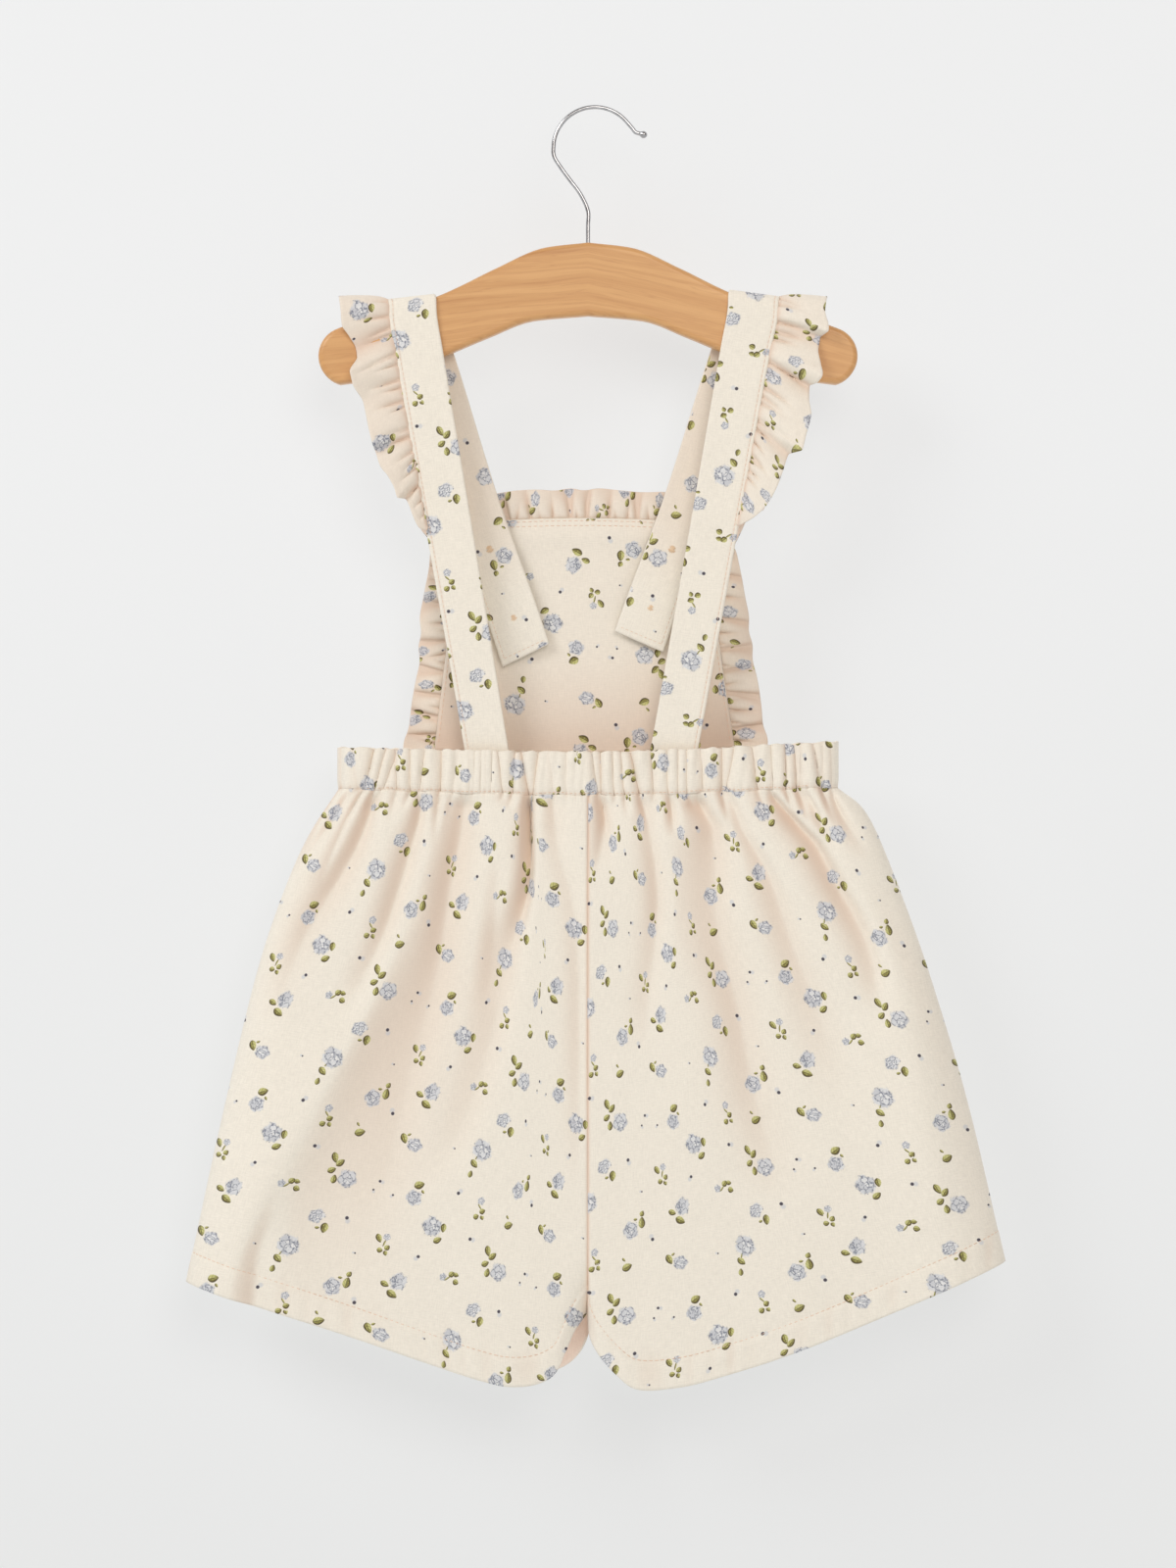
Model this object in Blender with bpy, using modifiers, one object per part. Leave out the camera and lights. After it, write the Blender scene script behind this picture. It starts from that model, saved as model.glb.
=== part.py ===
"""A toddler's wide-leg short jumpsuit, with a ruffled bib and straps, on a wooden hanger.

+Z is up, the garment's back faces -Y, and the origin is the inside of the hook's top.
Tables and sizes are in millimetres, and each mesh is made in metres. "out" is the distance
from the plane X = 0 to either side, "up" is Z, and "back" is the distance towards -Y.
"""

import math

import bmesh
import bpy
import numpy as np

PART_NAME = "jumpsuit_on_hanger"
MM = 0.001
LEFT, RIGHT = -1, 1
BACK, FRONT = -1, 1
SIDE_NAMES = {LEFT: "left", RIGHT: "right"}

# Walls and joints
PANEL_WALL = 1.2
BAND_WALL = 2.4
STRAP_WALL = 1.2
BIB_WALL = 1.4
RUFFLE_WALL = 1.0
SEAM_GAP = 0.3

# The waistband: (out, up of the top edge, up of the bottom edge), from left to right
WAIST_HALF = 129.0
WAIST_DEPTH = 11.0
BAND_EDGES = ((-WAIST_HALF, -331.4, -352.6), (0.0, -333.6, -355.8), (WAIST_HALF, -328.3, -351.8))

# The side seams, from the waistband to the hem: (out, up)
SIDE_SEAMS = {
    LEFT: ((129.4, -352.9), (146, -379), (160, -412), (173, -453), (191, -529), (208, -608)),
    RIGHT: ((129.4, -352.1), (146, -368), (165, -414), (180, -458), (197.5, -518), (216, -597.4)),
}
# The hems, from the inseam to the side seam: (out, up). The left leg's back hem sweeps up.
INSEAM_END = (0.15, -623.0)
LEFT_HEM_END = ((36, -661), (60, -656.5), (128, -633.5), (208, -608))
RIGHT_HEM_END = ((25, -662.3), (42, -662), (65, -657), (118, -639.3), (216, -597.4))
HEMS = {
    (LEFT, BACK): (INSEAM_END, (7.5, -633), (12, -643.5), (19, -656.2), *LEFT_HEM_END),
    (LEFT, FRONT): (INSEAM_END, (0.3, -636), (5.2, -647.6), (15.5, -655.2), *LEFT_HEM_END),
    (RIGHT, BACK): (INSEAM_END, (1.5, -636), (6.8, -646.3), (15.3, -655.6), *RIGHT_HEM_END),
    (RIGHT, FRONT): (INSEAM_END, (1.5, -636), (6.8, -646.3), (15.3, -655.6), *RIGHT_HEM_END),
}
CROTCH = (0.15, -619.0)

# How far the wall stands from the plane Y = 0: (share of the way down, depth)
PANEL_DEPTH = ((0.0, WAIST_DEPTH), (0.05, 12.6), (0.2, 15.0), (0.6, 16.0), (1.0, 15.0))
# Rows of the panel's mesh, as shares of the way down
PANEL_ROWS = (0.0, 0.02, 0.06, 0.11, 0.18, 0.27, 0.38, 0.5, 0.62, 0.74, 0.84, 0.91, 0.96, 1.0)
# How the wall turns into the side seam: (share of the width, share of the depth)
SIDE_TURN = ((0.90, 0.96), (0.95, 0.77), (0.985, 0.45), (1.0, 0.17), (1.0, 0.0))
# The stretch above the inseam where the back and front come together, as shares
CROTCH_START = 0.85
CROTCH_WIDTH = 0.22

# Gathers below the waistband: (out at the band, depth, length down the panel)
GATHERS = {
    (LEFT, BACK): (
        (14, 1.6, 50), (25, 2.8, 75), (33, 5.0, 150), (40, 2.2, 55), (59, 1.2, 45),
        (76, 3.0, 95), (92, 2.6, 70), (106, 3.2, 100), (119, 2.2, 60),
    ),
    (RIGHT, BACK): (
        (12, 2.0, 55), (24, 2.0, 60), (36, 3.0, 190), (52, 2.0, 60), (64, 2.2, 60),
        (77, 2.6, 85), (89, 2.0, 60), (101, 3.2, 110), (114, 2.4, 70),
    ),
    (LEFT, FRONT): ((22, 1.4, 60), (44, 2.0, 90), (66, 1.4, 60), (88, 2.0, 80), (108, 1.6, 60)),
    (RIGHT, FRONT): ((22, 1.6, 80), (44, 1.4, 60), (66, 2.0, 90), (88, 1.4, 60), (108, 1.8, 70)),
}
GATHER_HALF_WIDTH = 3.6
# Elastic holds the gathers flatter in the band than just below it: (share there, full by)
GATHER_AT_BAND = 0.7
GATHER_FULL_BY = 14.0
# Long soft folds: (out and up of the top, out and up of the foot, half width, depth)
LONG_FOLDS = {
    (LEFT, BACK): ((42, -395, 80, -555, 15, 2.2), (172, -535, 178, -612, 13, 2.4)),
    (RIGHT, BACK): ((104, -360, 140, -430, 13, 2.4), (60, -500, 78, -600, 14, 1.8)),
    (LEFT, FRONT): ((70, -400, 95, -560, 15, 2.2), (150, -520, 165, -605, 14, 2.0)),
    (RIGHT, FRONT): ((60, -390, 85, -560, 15, 2.2), (165, -520, 180, -600, 14, 2.0)),
}

# The bib's sides, from its foot to its top seam: (left out, right out, up)
BIB_SIDES = ((79.7, 76.0, -331.5), (74.0, 69.0, -284.0), (66.0, 59.6, -214.3))
BIB_TOP_RISE = 2.6
BIB_FOOT_DEPTH = WAIST_DEPTH
BIB_TOP_DEPTH = 13.0
BIB_TROUGH = (0.93, 0.05, 1.0)
BIB_COLUMNS = 13
BIB_ROWS = (0.0, 0.15, 0.35, 0.55, 0.75, 0.86, 0.93, 1.0)

# Straps, from the end inside the waistband over the wood to the end on the bib:
# (back, out, up, width, lean of the strap's cross line in degrees)
STRAP_BACK = {
    LEFT: ((6.6, 51.6, -338, 21.8, 9.6), (6.8, 53.2, -328, 21.8, 9.6), (7.1, 72.5, -214, 23.0, 9.6),
           (7.2, 87.6, -125, 23.6, 9.0)),
    RIGHT: ((6.6, 43.8, -337, 23.5, 10.1), (6.8, 45.6, -327, 23.5, 10.1),
            (7.1, 66.0, -213, 24.0, 10.1), (7.2, 81.8, -124, 25.0, 9.6)),
}
STRAP_FRONT = {
    LEFT: ((-7.3, 83.6, -125, 24.6, 17.5), (-7.5, 59.0, -205, 25.0, 17.9),
           (-8.0, 39.2, -262, 26.0, 18.5), (-8.0, 32.4, -282.7, 26.4, 26.0)),
    RIGHT: ((-7.3, 77.4, -125, 25.2, 17.8), (-7.5, 52.0, -205, 25.6, 18.6),
            (-8.0, 32.0, -260, 26.4, 19.0), (-8.0, 26.7, -275.6, 27.0, 23.5)),
}
# The strap's crown over the wood: (out, up of its highest line, width, lean)
STRAP_CROWN = {LEFT: (91.9, -97.6, 24.0, 6.2), RIGHT: (86.7, -95.8, 25.6, 7.3)}
CROWN_HALF = 7.2
CROWN_RISE = 7.6
CROWN_STEPS = 9
STRAP_STEPS = (10, 9)

# Strap ruffles: (way along from the crown towards the waistband, width, swell)
RUFFLE_OUTLINE = {
    LEFT: ((-168, 4, 0.4), (-160, 21, 1.6), (-115, 26, 1.6), (-60, 25, 1.6), (0, 25, 0.5),
           (40, 24, 1.7), (80, 20.5, 1.8), (98, 13, 1.4), (116, 3, 0.4)),
    RIGHT: ((-166, 4, 0.4), (-158, 22, 1.6), (-115, 27, 1.6), (-60, 25, 1.6), (0, 24, 0.5),
            (40, 23.5, 1.7), (80, 24, 1.8), (108, 14, 1.4), (126, 3, 0.4)),
}
STRAP_RUFFLE_WAVE = 11.5
WAVE_STEPS = 4

# Bib ruffles: (share of the way along the bib's edge, width, swell)
SIDE_RUFFLE = {
    LEFT: ((0.0, 16.3, 1.6), (0.35, 13.9, 1.7), (0.65, 15.7, 1.7), (0.97, 13.0, 1.4)),
    RIGHT: ((0.0, 17.5, 1.6), (0.35, 17.0, 1.7), (0.75, 17.4, 1.7), (0.97, 13.0, 1.4)),
}
TOP_RUFFLE = ((0.02, 12.0, 1.0), (0.15, 14.5, 1.5), (0.5, 15.2, 1.6), (0.85, 14.5, 1.5), (0.98, 12.0, 1.0))
BIB_RUFFLE_WAVE = 11.0

# Buttons: (out, up) of the fastened one and of the spare one nearer the strap's end
BUTTONS = {LEFT: ((53.6, -227.5), (41.2, -263.2)), RIGHT: ((46.1, -227.5), (34.1, -258.0))}
BUTTON_RADIUS = 6.5
BUTTON_THICK = 2.2
SHANK_RADIUS = 1.0
BUTTONHOLE = (14.0, 2.8)

# The hanger's wood: (out, up of the top edge), (out, up of the bottom edge), and its round ends
WOOD_TOP = ((0, -69.2), (22, -71.8), (48.4, -83), (67.2, -92.3), (79.4, -97.6), (118, -109.4))
WOOD_BOTTOM = ((0, -107.1), (28, -109.6), (52, -118.6), (79.4, -129.8), (118, -141.4))
WOOD_END = (124.6, -128.1, 15.2)
WOOD_THICK = 12.0
WOOD_ROUNDING = 3.0
OUTLINE_STEPS = 12
END_STEPS = 10

# The hanger's hook
WIRE_RADIUS = 1.1
HOOK_RADIUS = 21.6
HOOK_CENTRE = (3.6, -20.18)
STEM_DEEP = -84.0
STEM_BEND = ((0, -60.0), (0, -52.5), (-3.9, -43.8), (-9.4, -36.4), (-13.8, -30.4))
HOOK_FROM, HOOK_TO = 190.0, 42.0
HOOK_TIP = ((23.0, -9.6), (24.6, -11.6), (27.0, -12.4))
TIP_BALL_RADIUS = 1.9
BORE_CLEARANCE = 0.3


def curve_through(rows):
    """A smooth function through (place, value) rows that doesn't swing past them."""
    places, values = np.array([row[:2] for row in rows], float).T
    slopes = np.diff(values) / np.diff(places)
    turns = np.zeros(len(values))
    same_way = slopes[:-1] * slopes[1:] > 0
    sums = np.where(same_way, slopes[:-1] + slopes[1:], 1.0)
    turns[1:-1] = np.where(same_way, 2 * slopes[:-1] * slopes[1:] / sums, 0.0)
    turns[0], turns[-1] = slopes[0], slopes[-1]

    def value_at(place):
        place = np.clip(place, places[0], places[-1])
        i = np.clip(np.searchsorted(places, place) - 1, 0, len(slopes) - 1)
        span = places[i + 1] - places[i]
        t = (place - places[i]) / span
        rise = values[i + 1] - values[i]
        lift = turns[i] * span * t * (1 - t) ** 2 - turns[i + 1] * span * t**2 * (1 - t)
        return values[i] + rise * t * t * (3 - 2 * t) + lift

    return value_at


def path_through(points):
    """The point at a share of the length of a smooth path through the points."""
    points = np.array(points, float)
    ends = np.vstack([2 * points[0] - points[1], points, 2 * points[-1] - points[-2]])
    t = np.linspace(0, 1, 12, endpoint=False)[:, None]
    fine = [
        0.5 * (2 * b + (c - a) * t + (2 * a - 5 * b + 4 * c - d) * t**2 + (3 * b - a - 3 * c + d) * t**3)
        for a, b, c, d in zip(ends, ends[1:], ends[2:], ends[3:])
    ]
    fine = np.vstack([*fine, points[-1:]])
    gone = np.concatenate([[0], np.cumsum(np.linalg.norm(np.diff(fine, axis=0), axis=1))])

    def point_at(share):
        return np.array([np.interp(share * gone[-1], gone, axis) for axis in fine.T])

    return point_at


def unit(vectors):
    return vectors / np.maximum(np.linalg.norm(vectors, axis=-1, keepdims=True), 1e-9)


def material(name, colour, roughness, metallic=0.0):
    made = bpy.data.materials.new(name)
    made.use_nodes = True
    shader = made.node_tree.nodes["Principled BSDF"]
    shader.inputs["Base Color"].default_value = (*colour, 1.0)
    shader.inputs["Roughness"].default_value = roughness
    shader.inputs["Metallic"].default_value = metallic
    made.diffuse_color = (*colour, 1.0)
    return made


def object_of(mesh, name, finish):
    made = bpy.data.objects.new(name, mesh)
    mesh.materials.append(finish)
    bpy.data.collections[PART_NAME].objects.link(made)
    made.parent = bpy.data.objects[PART_NAME + "_origin"]
    return made


def mesh_from_grid(grid, name):
    """An open surface of quads over a grid of points in millimetres, as rows of columns."""
    rows, columns = grid.shape[:2]
    shape = bmesh.new()
    points = [[shape.verts.new(point * MM) for point in row] for row in grid]
    for i in range(rows - 1):
        for j in range(columns - 1):
            shape.faces.new((points[i][j], points[i][j + 1], points[i + 1][j + 1], points[i + 1][j]))
    mesh = bpy.data.meshes.new(name)
    shape.to_mesh(mesh)
    shape.free()
    mesh.shade_smooth()
    return mesh


def thin_cloth(name, grid, wall, finish):
    """A cloth piece: the open surface, given its thickness evenly to both sides."""
    made = object_of(mesh_from_grid(grid, name), name, finish)
    thickness = made.modifiers.new("Thickness", "SOLIDIFY")
    thickness.thickness = wall * MM
    thickness.offset = 0.0
    return made


def cloth_between_seams(name, grid, wall, finish, held):
    """A cloth piece whose seam faces stay in their seam planes, so neighbours can't meet.

    held gives, for the edges "top", "bottom", "start" and "end" of the grid, the axis
    across which that edge's thickness must not reach.
    """
    along_rows = np.gradient(grid, axis=1)
    down_rows = np.gradient(grid, axis=0)
    normals = unit(np.cross(along_rows, down_rows))
    edges = {"top": np.s_[0, :], "bottom": np.s_[-1, :], "start": np.s_[:, 0], "end": np.s_[:, -1]}
    for edge, axis in held.items():
        normals[edges[edge]][..., axis] = 0.0
    normals = unit(normals)
    rows, columns = grid.shape[:2]
    shape = bmesh.new()
    sheets = [
        [[shape.verts.new(point * MM) for point in row] for row in grid + normals * wall / 2 * way]
        for way in (1, -1)
    ]
    outer, inner = sheets
    for i in range(rows - 1):
        for j in range(columns - 1):
            ring = ((i, j), (i + 1, j), (i + 1, j + 1), (i, j + 1))
            shape.faces.new([outer[a][b] for a, b in ring])
            shape.faces.new([inner[a][b] for a, b in reversed(ring)])
    around = [(0, j) for j in range(columns)]
    around += [(i, columns - 1) for i in range(1, rows)]
    around += [(rows - 1, j) for j in range(columns - 2, -1, -1)]
    around += [(i, 0) for i in range(rows - 2, 0, -1)]
    for (a, b), (c, d) in zip(around, around[1:] + around[:1]):
        shape.faces.new((outer[a][b], outer[c][d], inner[c][d], inner[a][b]))
    bmesh.ops.recalc_face_normals(shape, faces=shape.faces)
    mesh = bpy.data.meshes.new(name)
    shape.to_mesh(mesh)
    shape.free()
    mesh.shade_smooth()
    return object_of(mesh, name, finish)


def band_edge(out, edge):
    """Up of the waistband's top edge (1) or bottom edge (2) at a distance out, left negative."""
    return curve_through([(row[0], row[edge]) for row in BAND_EDGES])(out)


def gather_depth(side, face, share, down):
    """How far the gathers draw the wall in, at a share of the width and a distance down."""
    total = 0.0
    for out, depth, length in GATHERS[side, face]:
        across = (share * WAIST_HALF - out) / GATHER_HALF_WIDTH
        fade = max(0.0, 1 - down / length)
        total += depth * math.exp(-across * across) * fade * fade * (3 - 2 * fade)
    opened = min(1.0, GATHER_AT_BAND + (1 - GATHER_AT_BAND) * down / GATHER_FULL_BY)
    return total * opened


def fold_depth(side, face, out, up):
    """How far the long soft folds draw the wall in at a place seen from the front."""
    total = 0.0
    for top_out, top_up, foot_out, foot_up, half_width, depth in LONG_FOLDS[side, face]:
        run_out, run_up = foot_out - top_out, foot_up - top_up
        share = ((out - top_out) * run_out + (up - top_up) * run_up) / (run_out**2 + run_up**2)
        share = min(max(share, 0.0), 1.0)
        away = math.hypot(out - top_out - share * run_out, up - top_up - share * run_up) / half_width
        total += depth * math.exp(-away * away)
    return total


def panel_columns(side, face):
    """(share of the width, share of the depth) of each column: troughs, crests, then the turn."""
    troughs = [out / WAIST_HALF for out, _, _ in GATHERS[side, face]]
    crests = [(a + b) / 2 for a, b in zip([0.0, *troughs], [*troughs, 0.93])]
    flat = sorted({0.0, *troughs, *crests})
    return [(share, 1.0) for share in flat if share < 0.89] + list(SIDE_TURN)


def panel_plan(side, face):
    """The place (out, up) of a leg panel's points, from its four edges."""
    top_start = band_edge(0.0, 2) - SEAM_GAP
    centre = path_through([(0.15, top_start), (0.15, -500), CROTCH, INSEAM_END])
    seam = path_through(SIDE_SEAMS[side])
    hem = path_through(HEMS[side, face])

    def place(u, v):
        out = WAIST_HALF * u
        top = np.array([max(out, 0.15), band_edge(side * out, 2) - SEAM_GAP])
        corners = (1 - u) * (1 - v) * centre(0) + u * (1 - v) * seam(0)
        corners = corners + (1 - u) * v * centre(1) + u * v * seam(1)
        return (1 - u) * centre(v) + u * seam(v) + (1 - v) * top + v * hem(u) - corners

    return place


def panel_grid(side, face):
    """A leg panel's mid surface, from the centre seam to the side seam and down to the hem."""
    place = panel_plan(side, face)
    depth_at = curve_through(PANEL_DEPTH)
    grid = []
    for v in PANEL_ROWS:
        closing = min(max((v - CROTCH_START) / (1 - CROTCH_START), 0.0), 1.0)
        row = []
        for u, turn in panel_columns(side, face):
            out, up = place(u, v)
            near = max(0.0, 1 - u / CROTCH_WIDTH)
            inner_turn = math.sqrt(max(0.0, 1 - (closing * near) ** 2))
            down = place(u, 0.0)[1] - up
            drawn_in = gather_depth(side, face, u, down) + fold_depth(side, face, out, up)
            standing = (depth_at(v) - drawn_in) * turn * inner_turn
            row.append((side * out, face * max(standing, SEAM_GAP / 2), up))
        grid.append(row)
    return np.array(grid)


def make_leg_panel(side, face, finish):
    name = f"{'back' if face == BACK else 'front'}_leg_{SIDE_NAMES[side]}"
    held = {"start": 0, "end": 1, "top": 2}
    return cloth_between_seams(name, panel_grid(side, face), PANEL_WALL, finish, held)


def make_waistband(face, finish):
    """Half of the waistband, from side seam to side seam: the back one is gathered."""
    halves = []
    for side in (LEFT, RIGHT):
        columns = panel_columns(side, face)
        halves.append([(side * u * WAIST_HALF, u, turn, side) for u, turn in columns])
    across = halves[0][::-1] + halves[1][1:]
    grid = []
    for share in (0.0, 0.3, 0.7, 1.0):
        row = []
        for out, u, turn, side in across:
            standing = (WAIST_DEPTH - gather_depth(side, face, u, 0.0)) * turn
            up = band_edge(out, 1) * (1 - share) + band_edge(out, 2) * share
            row.append((out, face * max(standing, SEAM_GAP / 2), up))
        grid.append(row)
    name = "back_waistband" if face == BACK else "front_waistband"
    held = {"start": 1, "end": 1, "top": 2, "bottom": 2}
    return cloth_between_seams(name, np.array(grid), BAND_WALL, finish, held)


def bib_point(across, share):
    """A point of the bib: across from -1, its left edge, to 1, and a share of the way up."""
    foot, top = BIB_SIDES[0][2], BIB_SIDES[-1][2]
    up = foot + (top - foot) * share
    left = curve_through([(row[2], row[0]) for row in BIB_SIDES])(up)
    right = curve_through([(row[2], row[1]) for row in BIB_SIDES])(up)
    out = (right - left) / 2 + across * (right + left) / 2
    foot_rise = band_edge(out, 1) + SEAM_GAP - foot
    up += foot_rise * (1 - share) + BIB_TOP_RISE * share * (1 - across * across)
    where, width, depth = BIB_TROUGH
    trough = depth * math.exp(-(((share - where) / width) ** 2))
    standing = BIB_FOOT_DEPTH + (BIB_TOP_DEPTH - BIB_FOOT_DEPTH) * min(1.0, share * 2.2) - trough
    return np.array([out, standing, up])


def make_bib(finish):
    grid = [[bib_point(x, share) for x in np.linspace(-1, 1, BIB_COLUMNS)] for share in BIB_ROWS]
    return thin_cloth("bib", np.array(grid), BIB_WALL, finish)


def ruffle_grid(places, base_at, outward_at, normal_at, outline, wave, centred):
    """A ruffle's mid surface: waves that start at a straight edge and swell outwards."""
    width_at = curve_through([(row[0], row[1]) for row in outline])
    swell_at = curve_through([(row[0], row[2]) for row in outline])
    grid = []
    for share in (0.0, 1.0):
        row = []
        for count, place in enumerate(places):
            turn = count * 2 * math.pi / wave
            uneven = 1 + 0.25 * math.sin(0.37 * turn)
            height = (0.0 if centred else 1.0) - math.cos(turn)
            height *= swell_at(place) * uneven * (0.15 + 0.85 * share)
            point = base_at(place) + outward_at(place) * (SEAM_GAP + 0.1 + width_at(place) * share)
            row.append(point + normal_at(place) * height)
        grid.append(row)
    return np.array(grid)


def make_side_ruffle(side, finish):
    def base(share):
        return bib_point(side, share)

    def outward(share):
        return unit(base(share) - bib_point(side * 0.9, share)) * np.array([1, 0, 1])

    length = (BIB_SIDES[-1][2] - BIB_SIDES[0][2]) * 0.94
    steps = round(length / BIB_RUFFLE_WAVE * WAVE_STEPS)
    places = np.linspace(0.03, 0.97, steps + 1)
    grid = ruffle_grid(
        places, base, outward, lambda share: np.array([0, 1, 0]), SIDE_RUFFLE[side], WAVE_STEPS, True
    )
    return thin_cloth(f"bib_side_ruffle_{SIDE_NAMES[side]}", grid, RUFFLE_WALL, finish)


def make_top_ruffle(finish):
    length = BIB_SIDES[-1][0] + BIB_SIDES[-1][1]
    steps = round(length / BIB_RUFFLE_WAVE * WAVE_STEPS)
    places = np.linspace(0.02, 0.98, steps + 1)
    grid = ruffle_grid(
        places,
        lambda share: bib_point(2 * share - 1, 1.0),
        lambda share: np.array([0, 0, 1]),
        lambda share: np.array([0, 1, 0]),
        TOP_RUFFLE,
        WAVE_STEPS,
        True,
    )
    return thin_cloth("bib_top_ruffle", grid, RUFFLE_WALL, finish)


def strap_sections(side):
    """Rows of (back, out, up, width, lean) along a strap, with its crown over the wood."""
    out, top, width, lean = STRAP_CROWN[side]
    crown = []
    for angle in np.linspace(0, math.pi, CROWN_STEPS):
        back = CROWN_HALF * math.copysign(abs(math.cos(angle)) ** (2 / 3), math.cos(angle))
        up = top - CROWN_RISE * (1 - math.sin(angle) ** (2 / 3))
        nearer = abs(math.cos(angle))
        crown.append((back, out - 1.2 * nearer, up, width, lean + 2.0 * nearer))
    return np.array([*STRAP_BACK[side], *crown, *STRAP_FRONT[side]])


def strap_frame(side):
    """The strap's middle, cross line and width at a distance from its crown, towards the back."""
    rows = strap_sections(side)
    middle = np.stack([side * rows[:, 1], -rows[:, 0], rows[:, 2]], axis=1)
    gone = np.concatenate([[0], np.cumsum(np.linalg.norm(np.diff(middle, axis=0), axis=1))])
    crown = gone[len(STRAP_BACK[side]) + CROWN_STEPS // 2]
    away = crown - gone[::-1]
    axes = [curve_through(list(zip(away, axis[::-1]))) for axis in middle.T]
    width_at = curve_through(list(zip(away, rows[::-1, 3])))
    lean_at = curve_through(list(zip(away, rows[::-1, 4])))

    def at(place):
        centre = np.array([axis(place) for axis in axes])
        lean = math.radians(lean_at(place))
        across = np.array([side * math.cos(lean), 0.0, -math.sin(lean)])
        ahead = np.array([axis(place + 0.5) - axis(place - 0.5) for axis in axes])
        normal = unit(np.cross(across, ahead)) * -side
        return centre, across, width_at(place), normal

    return at, away


def strap_places(side, away):
    """Even steps along the strap's two straight runs, with every section of the crown."""
    crown = away[len(STRAP_FRONT[side]) : len(away) - len(STRAP_BACK[side])]
    front = np.linspace(away[0], crown[0], STRAP_STEPS[1], endpoint=False)
    back = np.linspace(away[-1], crown[-1], STRAP_STEPS[0], endpoint=False)[::-1]
    return [*front, *crown, *back]


def make_strap(side, finish):
    at, away = strap_frame(side)
    grid = []
    for place in strap_places(side, away):
        centre, across, width, _ = at(place)
        grid.append([centre + across * width * share for share in (-0.5, 0.0, 0.5)])
    return thin_cloth(f"strap_{SIDE_NAMES[side]}", np.array(grid), STRAP_WALL, finish)


def make_strap_ruffle(side, finish):
    at, _ = strap_frame(side)
    outline = RUFFLE_OUTLINE[side]
    steps = round((outline[-1][0] - outline[0][0]) / STRAP_RUFFLE_WAVE * WAVE_STEPS)

    def base(place):
        centre, across, width, _ = at(place)
        return centre + across * width / 2

    places = np.linspace(outline[0][0], outline[-1][0], steps + 1)
    grid = ruffle_grid(
        places, base, lambda place: at(place)[1], lambda place: at(place)[3], outline, WAVE_STEPS, False
    )
    return thin_cloth(f"strap_ruffle_{SIDE_NAMES[side]}", grid, RUFFLE_WALL, finish)


def ring_outline():
    """The wood's outline as one closed ring of (x, up), clockwise from the top's middle."""
    top, bottom = curve_through(WOOD_TOP), curve_through(WOOD_BOTTOM)
    out, up, radius = WOOD_END
    angles = np.linspace(math.radians(70), math.radians(-75), END_STEPS)
    end = [(out + radius * math.cos(a), up + radius * math.sin(a)) for a in angles]
    outs = np.linspace(0, WOOD_TOP[-1][0], OUTLINE_STEPS)
    half = [(x, float(top(x))) for x in outs] + end + [(x, float(bottom(x))) for x in outs[::-1]]
    return half + [(-x, z) for x, z in half[-2:0:-1]]


def make_wood(finish, cutters):
    shape = bmesh.new()
    ring = [shape.verts.new((x * MM, -WOOD_THICK / 2 * MM, z * MM)) for x, z in ring_outline()]
    face = shape.faces.new(ring)
    pushed = bmesh.ops.extrude_face_region(shape, geom=[face])["geom"]
    far = [item for item in pushed if isinstance(item, bmesh.types.BMVert)]
    bmesh.ops.translate(shape, vec=(0, WOOD_THICK * MM, 0), verts=far)
    bmesh.ops.recalc_face_normals(shape, faces=shape.faces)
    mesh = bpy.data.meshes.new("hanger_wood")
    shape.to_mesh(mesh)
    shape.free()
    made = object_of(mesh, "hanger_wood", finish)
    rounding = made.modifiers.new("Rounded edges", "BEVEL")
    rounding.width = WOOD_ROUNDING * MM
    rounding.segments = 2
    rounding.limit_method = "ANGLE"
    rounding.angle_limit = math.radians(60)

    bpy.ops.mesh.primitive_cylinder_add(
        vertices=20,
        radius=(WIRE_RADIUS + BORE_CLEARANCE) * MM,
        depth=40 * MM,
        location=(0, 0, (STEM_DEEP - BORE_CLEARANCE + 20) * MM),
    )
    cutter = bpy.context.object
    cutter.name = "stem_bore"
    cutter.hide_render = True
    cutter.display_type = "WIRE"
    for collection in list(cutter.users_collection):
        collection.objects.unlink(cutter)
    cutters.objects.link(cutter)
    bore = made.modifiers.new("Stem bore", "BOOLEAN")
    bore.operation = "DIFFERENCE"
    bore.object = cutter
    made.data.set_sharp_from_angle(angle=math.radians(40))
    return made


def hook_path():
    """The wire's middle line: stem, offset bend, round hook and out-turned tip."""
    x, z = HOOK_CENTRE
    angles = np.radians(np.linspace(HOOK_FROM, HOOK_TO, 25))
    circle = [(x + HOOK_RADIUS * math.cos(a), z + HOOK_RADIUS * math.sin(a)) for a in angles]
    bend = path_through([*STEM_BEND, circle[0], circle[3]])
    lower = [tuple(bend(share)) for share in np.linspace(0, 1, 18)]
    tip = path_through([circle[-2], circle[-1], *HOOK_TIP])
    upper = [tuple(tip(share)) for share in np.linspace(0.3, 1, 7)]
    return [(0, STEM_DEEP), *lower, *circle[4:-1], *upper]


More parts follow.
